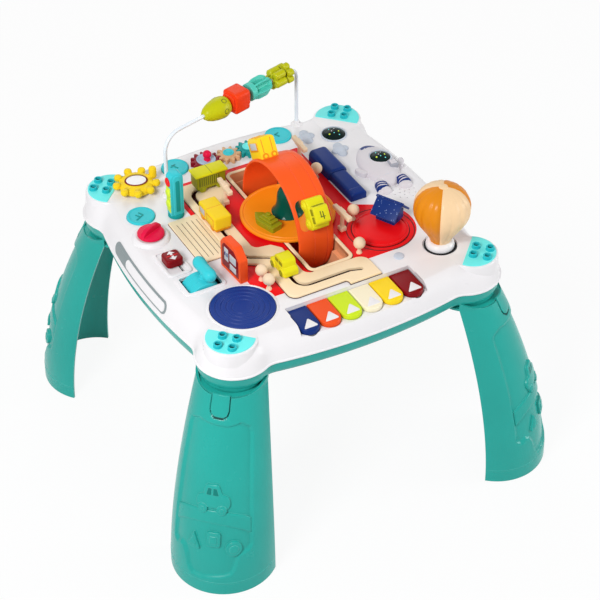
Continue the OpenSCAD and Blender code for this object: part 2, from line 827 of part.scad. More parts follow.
module fuel_pump() {
    color("orangered") at(pump_p, deck_z) rotate(4) {
        rotate([90, 0, 90]) translate([0, 0, -5]) linear_extrude(10)
            polygon([[-21, 0], [21, 0], [21, pump_h - 8], [15, pump_h], [-9, pump_h], [-21, pump_h - 12]]);
        translate([-1, -11, pump_h - 12]) cube([8, 8, 10]);
    }
}

// ---- bead wire: straight top, two bends, two uprights in the arch's own plane ----
wire_dir = (wire_b - wire_a) / norm(wire_b - wire_a);
wire_span = norm(wire_b - wire_a);
wire_yaw = atan2(wire_dir[1], wire_dir[0]);
wire_z = deck_z + wire_up;
bend_b = 13;
wire_foot = deck_z - 12;

module elbow(r, a0, a1) {
    rotate([90, 0, 0]) rotate(a0) rotate_extrude(angle = a1 - a0, $fn = 96) translate([r, 0]) circle(r = wire_r, $fn = 24);
}

module bead_wire() {
    color("whitesmoke") at(wire_a) rotate(wire_yaw) {
        translate([0, 0, wire_foot]) cylinder(r = wire_r, h = wire_z - wire_bend - wire_foot, $fn = 48);
        translate([wire_bend, 0, wire_z - wire_bend]) elbow(wire_bend, 90, 180);
        translate([wire_bend, 0, wire_z]) rotate([0, 90, 0]) cylinder(r = wire_r, h = wire_span - wire_bend - bend_b, $fn = 48);
        translate([wire_span - bend_b, 0, wire_z - bend_b]) elbow(bend_b, 0, 90);
        translate([wire_span, 0, wire_foot]) cylinder(r = wire_r, h = wire_z - bend_b - wire_foot, $fn = 48);
    }
}

// Distance of each bead's middle along the arch from the left upright, and its length.
bead_s = [78, 112, 147, 176, 191];
bead_l = [36, 27, 34, 16, 9];

module on_wire(s) {
    at(wire_a, wire_z) rotate(wire_yaw) translate([s, 0, 0]) rotate([0, 90, 0]) children();
}

module wire_bore(l) {
    cylinder(r = wire_r + gap, h = l + 2, center = true, $fn = 32);
}

module bead_drop() {
    l = bead_l[0];
    color("yellowgreen") on_wire(bead_s[0]) difference() {
        rotate_extrude($fn = 64) polygon(concat(
            [[0, -l / 2], [3.5, -l / 2]], arc([-2, l / 2 - 12], 15, -55, 18, 6), [[10, l / 2], [0, l / 2]]
        ));
        wire_bore(l);
    }
}

module bead_block() {
    l = bead_l[1];
    color("orangered") on_wire(bead_s[1]) difference() {
        union() {
            translate([0, 0, -l / 2 + 4]) linear_extrude(l - 8) soft_rect([27, 25], 4);
            translate([0, 0, -l / 2]) linear_extrude(l) soft_rect([20, 19], 4);
        }
        wire_bore(l);
    }
}

module bead_cage() {
    l = bead_l[2];
    color("mediumaquamarine") on_wire(bead_s[2]) difference() {
        union() {
            translate([0, 0, -l / 2]) cylinder(r = 11, h = 8, $fn = 48);
            cylinder(r = 4.6, h = l, center = true, $fn = 32);
            for (k = [0:2]) rotate(120 * k) translate([0, -1.3, -l / 2]) cube([13, 2.6, l - 4]);
        }
        wire_bore(l);
    }
}

module petals(n, r, c, l) {
    linear_extrude(l, center = true) {
        circle(r = c, $fn = 48);
        for (k = [0:n - 1]) rotate(360 * k / n) translate([c, 0]) circle(r = r, $fn = 24);
    }
}

module bead_flower() {
    color("yellowgreen") on_wire(bead_s[3]) difference() {
        petals(5, 5, 8, bead_l[3]);
        wire_bore(bead_l[3]);
    }
}

module bead_ring() {
    color("greenyellow") on_wire(bead_s[4]) difference() {
        petals(6, 4.5, 9, bead_l[4]);
        wire_bore(bead_l[4]);
    }
}

// ---- inside the casing ----
module pivot_rods() {
    color("silver") {
        translate([bed_x - bed_w / 2 - ear_t + 0.5, rod_y, rod_z]) rotate([0, 90, 0])
            cylinder(r = rod_r, h = bed_w + 2 * ear_t - 1, $fn = 32);
        translate([lever_p[0], lever_p[1], lever_z]) rotate([90, 0, 0])
            cylinder(r = axle_r, h = lever_cut[1] + 2 * ear_t - 1, center = true, $fn = 32);
    }
}

module circuit_board() {
    color("green") {
        translate([board_x[0], board_y[0], board_z]) cube([board_x[1] - board_x[0], board_y[1] - board_y[0], board_t]);
        for (k = [0:3]) translate([board_x[0] + 8 + 18 * k, -30, board_z + board_t]) cube([10, 14, 3]);
    }
}

module loudspeaker() {
    color("dimgray") at(speaker_p) difference() {
        union() {
            translate([0, 0, under_z - 4]) cylinder(r = 20, h = 4, $fn = 64);
            translate([0, 0, under_z - 14]) cylinder(r = 13, h = 11, $fn = 64);
        }
        translate([0, 0, under_z - 1.5]) cylinder(r = 17, h = 3, $fn = 64);
    }
}

module battery_cells() {
    color("gray") for (k = [-1:1])
        translate([cell_p[0] + k * (2 * cell_r + cell_gap), cell_p[1] - cell_l / 2, pan_z + cell_r + 1.8]) rotate([-90, 0, 0]) cylinder(r = cell_r, h = cell_l, $fn = 48);
}

module battery_cover() {
    color("mediumturquoise") at(cell_p, pan_z) linear_extrude(1.6) soft_rect([box_w - 0.6, box_l - 0.6], 1);
}

module case_screws() {
    color("silver") for (p = screw_p) at(p, pan_z + 5) {
        cylinder(r = 3.2, h = 2, $fn = 32);
        cylinder(r = screw_r, h = lip_z - pan_z + 8, $fn = 24);
    }
}

// ---- telescopic slider ----
base_w = 21;
base_l = 100;
slider_h = 11;

module rounded_bar(w, l, h, z) {
    translate([0, 0, z]) rotate([90, 0, 0]) linear_extrude(l, center = true) polygon(concat(
        [[-w / 2, 0], [w / 2, 0]], arc([w / 2 - 5, h - 5], 5, 0, 90, 4), arc([-w / 2 + 5, h - 5], 5, 90, 180, 4)
    ));
}

module slider_base() {
    color("midnightblue") at(slider_p, deck_z) difference() {
        union() {
            rounded_bar(base_w, base_l, slider_h, 0);
            for (s = [-1, 1]) translate([0, s * 30, -6]) cylinder(r = 2, h = 7, $fn = 32);
        }
    }
}

cover_l = 52;
cover_t = 1.8;

module slider_cover() {
    color("midnightblue") at([slider_p[0], slider_p[1] + base_l / 2 - cover_l / 2 + 1], deck_z + gap) difference() {
        rounded_bar(base_w + 2 * (cover_t + gap), cover_l, slider_h + cover_t + gap, 0);
        rounded_bar(base_w + 2 * gap, cover_l + 1, slider_h + gap, -0.01);
    }
}

// ---- big ring wheel ----
ring_a = [147, 57, -33, -123];

module on_ring(a) {
    translate([ring_p[0], ring_p[1], axis_z]) rotate([a, 0, 0]) translate([0, ring_r, 0]) rotate([-90, 0, 0]) children();
}

module ring_wheel() {
    color("orangered") difference() {
        drum_x(ring_r, ring_w);
        drum_x(ring_r - band_t, ring_w + 2);
        for (a = [0, 2]) on_ring(ring_a[a]) translate([-10, 0, -band_t - 2]) linear_extrude(8) soft_rect([14, 34], 7);
    }
}

// Width, length and height of the ring's toys, and how far they stand off its middle plane.
car_size = [23, 36, 22];
bus_size = [25, 32, 24];
car_x = 1.5;
bus_x = -6.6;

module ring_vehicles() {
    for (k = [0, 2]) color("yellow") on_ring(ring_a[k]) ring_toy(car_size, car_x);
    for (k = [1, 3]) color("gold") on_ring(ring_a[k]) ring_toy(bus_size, bus_x);
}

// Toy on a curved foot that seats on the band.
module ring_toy(size, x) {
    l = size[1];
    h = size[2];
    difference() {
        translate([x, 0, -4]) rotate([90, 0, 90]) linear_extrude(size[0], center = true)
            polygon([[-l / 2, 0], [l / 2, 0], [l / 2, h * 0.62], [l / 2 - 5, h * 0.7], [l / 2 - 10, h + 3], [-l / 2 + 6, h + 3], [-l / 2, h * 0.75]]);
        translate([-40, 0, -ring_r]) rotate([0, 90, 0]) cylinder(r = ring_r, h = 80, $fn = 96);
    }
}

// ---- turntable ----
module turntable() {
    color("orange") {
        difference() {
            at(ring_p, table_z) cylinder(r = table_r, h = table_t, $fn = 96);
            at(ring_p, table_z + table_t - 1) difference() {
                cylinder(r = table_r - 4, h = 3, $fn = 96);
                translate([0, 0, -1]) cylinder(r = table_r - 6, h = 5, $fn = 96);
            }
        }
        at(ring_p, bridge_z - 2) cylinder(r = stem_r, h = table_z + 1 - bridge_z + 2, $fn = 48);
        at(ring_p, bridge_z - 4) cylinder(r = stem_r + 1.5, h = 4 - gap, $fn = 48);
    }
}

boat_p = ring_p - [table_r - 22.5, 10.5];

module turntable_boat() {
    color("yellowgreen") at(boat_p, table_z + table_t) rotate(105) {
        linear_extrude(7) polygon([[-17, -7], [10, -8], [19, 0], [10, 8], [-17, 7]]);
        translate([-11, -5, 7]) cube([17, 10, 4]);
        translate([-7, -3.5, 11]) cube([9, 7, 3]);
        translate([-3, 0, 14]) cylinder(r = 2.5, h = 4, $fn = 24);
    }
}

module turntable_dome() {
    color("darkgreen", 0.6) at(ring_p, table_z + table_t) rotate_extrude($fn = 64) polygon(concat(
        [[0, 0], [17, 0]], arc([29, 12], 17, 225, 180, 3), [[12, 22]], arc([0, 22], 12, 15, 90, 5)
    ));
}

// ---- house on its disc ----
disc_h = 3;
module house_disc() {
    color("red") {
        at(disc_p, panel_top + gap) dome_disc();
        at(disc_p, deck_z - 8) cylinder(r = stem_r, h = 10, $fn = 48);
        at(disc_p, deck_z - 10) cylinder(r = stem_r + 1.5, h = 10 - wall - panel_t - gap, $fn = 48);
    }
}

module dome_disc() {
    rotate_extrude($fn = 96) polygon([[0, 0], [disc_r, 0], [disc_r, 1.5], [disc_r - 4, disc_h], [0, disc_h]]);
}

house_p = [101, -58];

module house() {
    color("midnightblue") at(house_p, panel_top + gap + disc_h) rotate(-62) {
        linear_extrude(13) square([25, 21], center = true);
        translate([0, 0, 12]) rotate([90, 0, 90]) linear_extrude(33, center = true)
            polygon([[-17, -2], [-15, -3.5], [0, 10], [15, -3.5], [17, -2], [0, 14]]);
    }
}

// ---- traffic light ----
module traffic_light() {
    color("lightseagreen") at(light_p, deck_z + gap) {
        cylinder(r = 9.5, h = 5, $fn = 48);
        translate([0, 0, 4]) linear_extrude(light_h - 4) soft_rect([17, 13], 3);
        translate([0, 0, -gap - 8]) cylinder(r = stem_r, h = 9 + gap, $fn = 48);
        for (k = [0:2]) translate([-9, 0, light_h - 11 - 15.5 * k]) rotate([0, 90, 0]) cylinder(r = 5, h = 2, $fn = 32);
    }
}

// ---- star wheel and gears ----
star_z = deck_z + 2 + gap;
star_h = 9;

module star_wheel() {
    color("gold") at(star_p, star_z) {
        difference() {
            union() {
                cylinder(r = 17, h = star_h, $fn = 64);
                for (k = [0:8]) rotate(40 * k + 10) {
                    translate([10, -4, star_h - 5]) cube([13, 8, 4]);
                    translate([23.5, 0, star_h - 5]) cylinder(r = 5.2, h = 6, $fn = 32);
                }
                rotate(10) translate([23.5, 0, star_h]) cylinder(r = 4.2, h = 8, $fn = 32);
            }
            translate([0, 0, -1]) cylinder(r = gear_pin_r + run, h = star_h, $fn = 48);
        }
    }
}

// Half tooth flanks on an involute, as [radius, angle] pairs.
gear_pa = 25;
gear_slack = 0.35;

function gear_flank(n) =
    let (
        rp = gear_m * n / 2,
        rb = rp * cos(gear_pa),
        ra = rp + 0.78 * gear_m,
        half = 90 / n - 180 / PI * gear_slack / (2 * rp),
        inv_p = 180 / PI * tan(gear_pa) - gear_pa
    )
    [
        for (i = [0:4])
            let (
                r = rb + (ra - rb) * i / 4,
                q = acos(min(1, rb / r)),
                inv = 180 / PI * tan(q) - q
            )
            [r, half + inv_p - inv]
    ];

function gear_outline(n) =
    let (f = gear_flank(n), rr = gear_m * n / 2 - 1.05 * gear_m)
    [
        for (k = [0:n - 1])
            let (c = 360 * k / n, root = [rr, f[0][1]])
            each concat(
                [for (p = concat([root], f)) p[0] * [cos(c - p[1]), sin(c - p[1])]],
                [for (i = [len(f) - 1:-1:0]) f[i][0] * [cos(c + f[i][1]), sin(c + f[i][1])]],
                [rr * [cos(c + root[1]), sin(c + root[1])]]
            )
    ];

module gear(i, turn) {
    at([gear_x[i], gear_y], deck_z + gap) difference() {
        union() {
            rotate(turn) linear_extrude(gear_t) polygon(gear_outline(gear_n[i]));
            children();
        }
        translate([0, 0, -1]) cylinder(r = gear_pin_r + run, h = gear_t + 5, $fn = 48);
    }
}

module gear_red() color("firebrick") gear(0, 0) {
    cylinder(r = 10, h = gear_t + 3, $fn = 48);
    translate([6.5, 5, gear_t]) cylinder(r = 3.4, h = 9, $fn = 32);
    translate([6.5, 5, gear_t + 10]) sphere(r = 4.6, $fn = 32);
}
module gear_beige() color("tan") gear(1, 180 / gear_n[1]) cylinder(r = 7.5, h = gear_t + 3, $fn = 48);
module gear_teal() color("darkcyan") gear(2, 0) cylinder(r = 7.5, h = gear_t + 3, $fn = 48);

// ---- buttons, knob, switch, lever, drum ----
flange = 2;

module button(i) {
    color("turquoise") at(button_p[i]) {
        translate([0, 0, under_z - 1.5 - gap]) cylinder(r = button_r, h = wall + 1.5 + gap + 2.8, $fn = 64);
        translate([0, 0, under_z - 2 - gap]) cylinder(r = button_r + flange, h = 2, $fn = 64);
        translate([0, 0, under_z - 6]) cylinder(r = 4, h = 5, $fn = 32);
    }
}

module button_left() button(0);
module button_back_left() button(1);
module button_back_right() button(2);

knob_z = deck_z + collar_h + gap;

module rotary_knob() {
    color("crimson") at(knob_p) {
        translate([0, 0, knob_z]) cylinder(r = 15.5, h = 4, $fn = 64);
        translate([0, 0, knob_z + 3]) intersection() {
            cylinder(r = 15.5, h = 9, $fn = 64);
            translate([-16, -3, 0]) cube([32, 6, 9]);
        }
        translate([0, 0, under_z - 5]) cylinder(r = stem_r, h = knob_z - under_z + 6, $fn = 48);
        translate([0, 0, under_z - 5 - gap]) cylinder(r = stem_r + 2, h = 5, $fn = 48);
    }
}

module slide_switch() {
    color("maroon") at(switch_p) {
        translate([0, 0, deck_z + frame_h + gap]) linear_extrude(9) soft_rect([20, 20], 3);
        translate([-2.6, -4, under_z - 3]) cube([5.2, 8, deck_z + frame_h + 1 - under_z + 3]);
        translate([-6, -6, under_z - 2 - gap]) cube([12, 12, 2]);
    }
}

lever_r = 20;
lever_rest = 10;
lever_up = 31;

module shift_lever() {
    color("turquoise") translate([lever_p[0], lever_p[1], lever_z]) rotate([0, lever_rest, 0]) {
        rotate([90, 0, 0]) difference() {
            cylinder(r = lever_r, h = 26, center = true, $fn = 64);
            cylinder(r = axle_r + run, h = 28, center = true, $fn = 32);
            translate([-30, -60, -20]) cube([60, 52, 40]);
        }
        translate([0, 0, lever_r - 2]) cylinder(r = 4, h = lever_up - lever_r, $fn = 32);
        translate([0, 0, lever_up]) rotate([90, 0, 0]) {
            cylinder(r = 7.5, h = 26, center = true, $fn = 48);
            for (s = [-1, 1]) translate([0, 0, 13 * s]) sphere(r = 7.5, $fn = 48);
        }
    }
}

module drum_pad() {
    color("navy") at(drum_p) {
        translate([0, 0, under_z - 1]) cylinder(r = drum_r, h = wall + 1 + 1.6, $fn = 96);
        translate([0, 0, under_z - 2 - gap]) cylinder(r = drum_r + flange, h = 2, $fn = 96);
        translate([0, 0, under_z - 8]) cylinder(r = 6, h = 8, $fn = 48);
    }
}

// ---- piano keys ----
module key(i) {
    x = key_x0 + (i + 0.5) * key_pitch;
    r = key_w / 2;
    difference() {
        union() {
            translate([x, 0, key_top - key_t]) linear_extrude(key_t) polygon(concat(
                [[r, key_back + 2 - gap], [-r, key_back + 2 - gap]],
                arc([0, key_back - key_len + r], r, 180, 360, 12)
            ));
            translate([x - r, key_back, key_top - key_t - 3]) cube([key_w, 10, key_t + 2]);
        }
        translate([x - r - 1, rod_y, rod_z]) rotate([0, 90, 0]) cylinder(r = rod_r + run, h = key_w + 2, $fn = 32);
    }
}

module key_1() color("navy") key(0);
module key_2() color("orangered") key(1);
module key_3() color("greenyellow") key(2);
module key_4() color("cornsilk") key(3);
module key_5() color("gold") key(4);
module key_6() color("darkred") key(5);

// ---- balloon ----
neck_z = 9;

module balloon() {
    color("orange") at(balloon_p, deck_z - cup_d + gap) {
        cylinder(r = 16.5, h = neck_z, $fn = 64);
        translate([0, 0, -8]) cylinder(r = stem_r, h = 9, $fn = 48);
        rotate_extrude($fn = 96) polygon(concat(
            [[0, neck_z - 1], [12, neck_z - 1], [14, neck_z + 6], [22, neck_z + 17]],
            arc([0, balloon_up], balloon_r, -28, 90, 14)
        ));
    }
}

// ---- vehicles on the track ----
// Foot that runs under the road and the neck through its slot.
module runner() {
    translate([0, 0, panel_top - 1.6 - gap]) linear_extrude(1.6) square([12, channel_w - 1.2], center = true);
    translate([0, 0, panel_top - 1]) linear_extrude(road_t + 2) square([9, slot_w - 2 * gap], center = true);
}

module wagon() {
    color("olivedrab") at([-53, slot_y1]) {
        runner();
        translate([0, 0, road_top + gap]) {
            translate([-18, -8, 4]) cube([36, 16, 5]);
            translate([-18, -9, 8]) cube([38, 18, 15]);
            translate([-20, -10, 22]) cube([42, 20, 3]);
            translate([-14, -7, 0]) cube([28, 14, 5]);
        }
    }
}

module truck() {
    color("gold") at([slot_x1, 31]) rotate(90) {
        runner();
        translate([0, 0, road_top + gap]) {
            translate([-21, -10, 0]) cube([42, 20, 6]);
            translate([-22, -11, 5]) cube([34, 22, 15]);
            translate([10, -10, 5]) cube([12, 20, 11]);
        }
    }
}

module track_car() {
    color("yellow") at([slot_x2, -82]) rotate(90) {
        runner();
        translate([0, 0, road_top + gap]) body_x(18) polygon([[-17, 0], [17, 0], [17, 9], [11, 10], [7, 18], [-10, 18], [-14, 10], [-17, 9]]);
    }
}

top_shell();
base_pan();
leg_front_left();
leg_front_right();
leg_back_right();
leg_back_left();
stud_plates();
play_panel();
road_track();
wheel_well();
turntable_bridge();
ribbed_board();
label_plate();
sky_reliefs();
sky_lenses();
scenery_pegs();
fuel_pump();
bead_wire();
pivot_rods();
circuit_board();
loudspeaker();
battery_cells();
battery_cover();
case_screws();
slider_base();
ring_wheel();
ring_vehicles();
turntable();
turntable_boat();
turntable_dome();
house_disc();
house();
bead_drop();
bead_block();
bead_cage();
bead_flower();
bead_ring();
traffic_light();
star_wheel();
gear_red();
gear_beige();
gear_teal();
button_left();
button_back_left();
button_back_right();
rotary_knob();
slide_switch();
shift_lever();
drum_pad();
key_1();
key_2();
key_3();
key_4();
key_5();
key_6();
balloon();
slider_cover();
wagon();
truck();
track_car();
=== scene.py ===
import math
import bpy
import bmesh
from mathutils import Matrix, Vector


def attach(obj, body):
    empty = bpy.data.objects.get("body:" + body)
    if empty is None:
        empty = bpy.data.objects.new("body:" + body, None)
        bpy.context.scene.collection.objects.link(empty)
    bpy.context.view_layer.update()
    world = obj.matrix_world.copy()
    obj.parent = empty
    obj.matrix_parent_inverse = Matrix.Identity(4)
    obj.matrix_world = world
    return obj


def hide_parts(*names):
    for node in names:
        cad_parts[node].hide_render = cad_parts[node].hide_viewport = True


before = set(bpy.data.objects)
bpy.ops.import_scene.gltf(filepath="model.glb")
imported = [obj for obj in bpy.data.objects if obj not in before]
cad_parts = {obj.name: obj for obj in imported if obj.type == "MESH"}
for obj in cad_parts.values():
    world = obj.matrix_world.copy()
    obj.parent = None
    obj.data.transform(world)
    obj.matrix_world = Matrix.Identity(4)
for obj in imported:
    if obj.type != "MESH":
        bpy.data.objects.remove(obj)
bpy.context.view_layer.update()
print("frame loaded")

deckZ = 290.0  # all sizes in millimetres, scaled when a piece is finished
rad = math.radians


# colours and finishes
def fromScreen(r, g, b):
    def lin(c):
        c = c / 255
        return c / 12.92 if c <= 0.04045 else ((c + 0.055) / 1.055) ** 2.4
    return (lin(r), lin(g), lin(b), 1.0)


def nodeOf(tree, kind, x, y, **inputs):
    node = tree.nodes.new(kind)
    node.location = (x, y)
    for key, value in inputs.items():
        node.inputs[key.replace("_", " ")].default_value = value
    return node


# edge sets the strength of a painted highlight that lightens rounded edges
def mouldedPlastic(name, colour, rough=0.34, grain=0.06, drift=0.05, coat=0.0, shine=0.13, edge=0.4):
    mat = bpy.data.materials.new(name)
    mat.use_nodes = True
    tree = mat.node_tree
    link = tree.links.new
    shader = tree.nodes["Principled BSDF"]
    coords = nodeOf(tree, "ShaderNodeTexCoord", -1200, 0)
    broad = nodeOf(tree, "ShaderNodeTexNoise", -950, 250, Scale=9.0, Detail=3.0, Roughness=0.55)
    fine = nodeOf(tree, "ShaderNodeTexNoise", -950, 0, Scale=420.0, Detail=2.0, Roughness=0.6)
    smear = nodeOf(tree, "ShaderNodeTexNoise", -950, -250, Scale=36.0, Detail=4.0, Roughness=0.6)
    for tex in (broad, fine, smear):
        link(coords.outputs["Object"], tex.inputs["Vector"])
    base = fromScreen(*colour)
    ramp = nodeOf(tree, "ShaderNodeValToRGB", -650, 250)
    ramp.color_ramp.elements[0].position = 0.3
    ramp.color_ramp.elements[1].position = 0.7
    ramp.color_ramp.elements[0].color = [c * (1 - drift) for c in base[:3]] + [1]
    ramp.color_ramp.elements[1].color = [min(1, c * (1 + drift)) for c in base[:3]] + [1]
    link(broad.outputs["Fac"], ramp.inputs["Fac"])
    rounded = nodeOf(tree, "ShaderNodeBevel", -950, -500, Radius=0.0008)  # finds the edges
    rounded.samples = 3
    true = nodeOf(tree, "ShaderNodeNewGeometry", -950, -700)
    facing = tree.nodes.new("ShaderNodeVectorMath")
    facing.operation = "DOT_PRODUCT"
    link(rounded.outputs["Normal"], facing.inputs[0])
    link(true.outputs["Normal"], facing.inputs[1])
    # painted highlight: where the rounded normal turns away from the true one, the colour is mixed towards a
    # lighter tone, by up to edge
    edgeHighlight = nodeOf(tree, "ShaderNodeMapRange", -450, -500)
    for key, value in (("From Min", 0.99), ("From Max", 0.86), ("To Min", 0.0), ("To Max", edge)):
        edgeHighlight.inputs[key].default_value = value
    link(facing.outputs["Value"], edgeHighlight.inputs["Value"])
    edgeLit = tree.nodes.new("ShaderNodeMix")
    edgeLit.data_type = "RGBA"
    edgeLit.inputs["B"].default_value = [min(1, 1.15 * c + 0.1) for c in base[:3]] + [1]
    link(edgeHighlight.outputs["Result"], edgeLit.inputs["Factor"])
    link(ramp.outputs["Color"], edgeLit.inputs["A"])
    link(edgeLit.outputs["Result"], shader.inputs["Base Color"])
    spread = nodeOf(tree, "ShaderNodeMapRange", -650, -250)
    spread.inputs["To Min"].default_value = max(0.05, rough - 0.07)
    spread.inputs["To Max"].default_value = rough + 0.07
    link(smear.outputs["Fac"], spread.inputs["Value"])
    link(spread.outputs["Result"], shader.inputs["Roughness"])
    bump = nodeOf(tree, "ShaderNodeBump", -350, -100, Strength=grain, Distance=0.0004)
    link(fine.outputs["Fac"], bump.inputs["Height"])
    link(bump.outputs["Normal"], shader.inputs["Normal"])
    shader.inputs["Coat Weight"].default_value = coat
    shader.inputs["Coat Roughness"].default_value = 0.12
    shader.inputs["IOR"].default_value = 1.46
    shader.inputs["Specular IOR Level"].default_value = shine
    return mat


def speckled(mat, colour, scale, size):
    # scattered small dots of a second colour
    tree = mat.node_tree
    link = tree.links.new
    shader = tree.nodes["Principled BSDF"]
    old = shader.inputs["Base Color"].links[0].from_socket
    coords = tree.nodes["Texture Coordinate"]
    cells = nodeOf(tree, "ShaderNodeTexVoronoi", -950, 600, Scale=scale)
    link(coords.outputs["Object"], cells.inputs["Vector"])
    near = tree.nodes.new("ShaderNodeMath")
    near.operation = "LESS_THAN"
    near.inputs[1].default_value = size
    link(cells.outputs["Distance"], near.inputs[0])
    mix = tree.nodes.new("ShaderNodeMix")
    mix.data_type = "RGBA"
    mix.inputs["B"].default_value = fromScreen(*colour)
    link(near.outputs["Value"], mix.inputs["Factor"])
    link(old, mix.inputs["A"])
    link(mix.outputs["Result"], shader.inputs["Base Color"])
    return mat


def lensPlastic(name, colour):
    return mouldedPlastic(name, colour, rough=0.1, grain=0.01, drift=0.3, shine=0.12)


finish = {
    "white": mouldedPlastic("whiteCasing", (233, 231, 233), rough=0.3, drift=0.012, coat=0.1, shine=0.3),
    "teal": mouldedPlastic("tealLegs", (34, 162, 152), rough=0.25, grain=0.08, shine=0.25, edge=0.7),
    "tealDeep": mouldedPlastic("tealToys", (18, 152, 152), rough=0.32, drift=0.05),
    "cyan": mouldedPlastic("cyanPads", (112, 236, 234), rough=0.33, drift=0.03),
    "studTeal": mouldedPlastic("studTeal", (36, 186, 196), rough=0.3, drift=0.04),
    "aqua": mouldedPlastic("aquaButtons", (58, 200, 210), rough=0.3, drift=0.03),
    "red": mouldedPlastic("redPanel", (232, 16, 22), rough=0.34, drift=0.05),
    "darkRed": mouldedPlastic("darkRedToys", (130, 10, 20), rough=0.3, drift=0.06),
    "gearRed": mouldedPlastic("wineGear", (138, 14, 34), rough=0.3, drift=0.05),
    "crimson": mouldedPlastic("crimsonKnob", (226, 22, 70), rough=0.3, drift=0.04),
    "orange": mouldedPlastic("orangeRing", (248, 92, 34), rough=0.34, drift=0.05),
    "orangeToy": mouldedPlastic("orangeToys", (240, 84, 34), rough=0.34, drift=0.05),
    "amber": mouldedPlastic("amberDisc", (250, 148, 24), rough=0.34, drift=0.05),
    "yellow": mouldedPlastic("yellowToys", (250, 214, 36), rough=0.34, drift=0.04),
    "yellowDeep": mouldedPlastic("yellowShade", (232, 150, 18), rough=0.36, drift=0.05),
    "lime": mouldedPlastic("limeToys", (218, 214, 22), rough=0.34, drift=0.04),
    "beadLime": mouldedPlastic("limeBeads", (190, 192, 20), rough=0.3, drift=0.05),
    "beadRed": mouldedPlastic("redBead", (240, 66, 24), rough=0.3, drift=0.05),
    "mint": mouldedPlastic("mintBead", (84, 202, 184), rough=0.28, drift=0.05),
    "signalLime": mouldedPlastic("signalLime", (214, 240, 60), rough=0.3, drift=0.03),
    "lemon": mouldedPlastic("lemonCars", (230, 222, 30), rough=0.34, drift=0.04),
    "olive": mouldedPlastic("oliveToys", (150, 150, 20), rough=0.36, drift=0.05),
    "cream": mouldedPlastic("creamTrack", (250, 226, 188), rough=0.45, drift=0.025, coat=0.08),
    "boardCream": mouldedPlastic("creamBoard", (248, 228, 192), rough=0.45, drift=0.03, coat=0.08),
    "peach": mouldedPlastic("peachWell", (232, 168, 122), rough=0.45, drift=0.04, coat=0.08),
    "peg": mouldedPlastic("pegCream", (240, 214, 182), rough=0.42, drift=0.05),
    "navy": mouldedPlastic("navyToys", (16, 46, 116), rough=0.3, drift=0.06),
    "navyPad": mouldedPlastic("navyPad", (22, 54, 132), rough=0.4, drift=0.03, grain=0.15),
    "grey": mouldedPlastic("greyLabel", (136, 146, 148), rough=0.42, drift=0.03, coat=0.1),
    "paleGrey": mouldedPlastic("paleRelief", (214, 210, 215), rough=0.3, drift=0.03),
    "cloudGrey": mouldedPlastic("cloudRelief", (196, 204, 216), rough=0.3, drift=0.03),
    "boxGrey": mouldedPlastic("boxGrey", (158, 160, 170), rough=0.3),
    "beige": mouldedPlastic("beigeGear", (212, 172, 130), rough=0.4, drift=0.05, coat=0.1),
    "black": mouldedPlastic("shadowBlack", (22, 22, 26), rough=0.5, drift=0.1, coat=0.0),
    "wire": mouldedPlastic("whiteWire", (232, 240, 248), rough=0.22, drift=0.01, coat=0.6),
    "green": lensPlastic("greenLens", (8, 84, 70)),
    "visor": lensPlastic("darkVisor", (4, 30, 28)),
    "groove": mouldedPlastic("grooveShadeBrown", (112, 76, 58), rough=0.6),
    "capBlue": mouldedPlastic("gearCap", (168, 192, 214), rough=0.25, drift=0.03),
    "windowGrey": mouldedPlastic("windowGrey", (198, 200, 204), rough=0.25, drift=0.04),
    "ribShade": mouldedPlastic("ribShade", (92, 98, 12), rough=0.5),
    "tealGap": mouldedPlastic("tealGap", (4, 66, 62), rough=0.5, coat=0.0),
    "tealShade": mouldedPlastic("tealShade", (22, 122, 114), rough=0.4),
    "redGap": mouldedPlastic("redGap", (58, 10, 10), rough=0.5, coat=0.0),
    "balloonCream": mouldedPlastic("balloonCream", (242, 208, 164), rough=0.38, drift=0.05, coat=0.1),
    "balloonAmber": mouldedPlastic("balloonAmber", (222, 136, 20), rough=0.38, drift=0.05, coat=0.1),
    "keyCream": mouldedPlastic("keyCream", (248, 238, 208), rough=0.34, drift=0.02),
    "keyLime": mouldedPlastic("keyLime", (206, 232, 40), rough=0.34, drift=0.03),
}
roofPlastic = mouldedPlastic("navyRoof", (18, 48, 118))
finish["roof"] = speckled(roofPlastic, (128, 150, 196), scale=300, size=0.17)
print("finishes ready")


# modelling helpers
def newVerts(bm, old):
    return [v for v in bm.verts if v not in old]


def place(bm, old, matrix):
    bmesh.ops.transform(bm, matrix=matrix, verts=newVerts(bm, old))


def paint(bm, oldFaces, index):
    # the faces made since oldFaces take a material slot
    for f in bm.faces:
        if f not in oldFaces:
            f.material_index = index


def soften(bm, edges, width, steps):
    bmesh.ops.bevel(bm, geom=edges, affect="EDGES", offset=width, segments=steps, profile=0.5,
                    clamp_overlap=True, material=-1)


def sliced(bm, at, way, drop=True, dist=0.001):
    # cuts along a plane and drops what lies beyond it
    bmesh.ops.bisect_plane(bm, geom=list(bm.verts) + list(bm.edges) + list(bm.faces), dist=dist,
                           plane_co=at, plane_no=way, clear_outer=drop)


def closeHoles(bm):
    bmesh.ops.holes_fill(bm, edges=[e for e in bm.edges if e.is_boundary], sides=0)


def spot(x, y, z, turn=0.0):
    return Matrix.Translation((x, y, z)) @ Matrix.Rotation(rad(turn), 4, "Z")


def spinZ(turn):
    return Matrix.Rotation(rad(turn), 4, "Z")


# an outline drawn in y-z is pulled along x, or one drawn in x-z along y
alongX = Matrix(((0, 0, 1, 0), (1, 0, 0, 0), (0, 1, 0, 0), (0, 0, 0, 1)))
alongY = Matrix(((1, 0, 0, 0), (0, 0, -1, 0), (0, 1, 0, 0), (0, 0, 0, 1)))


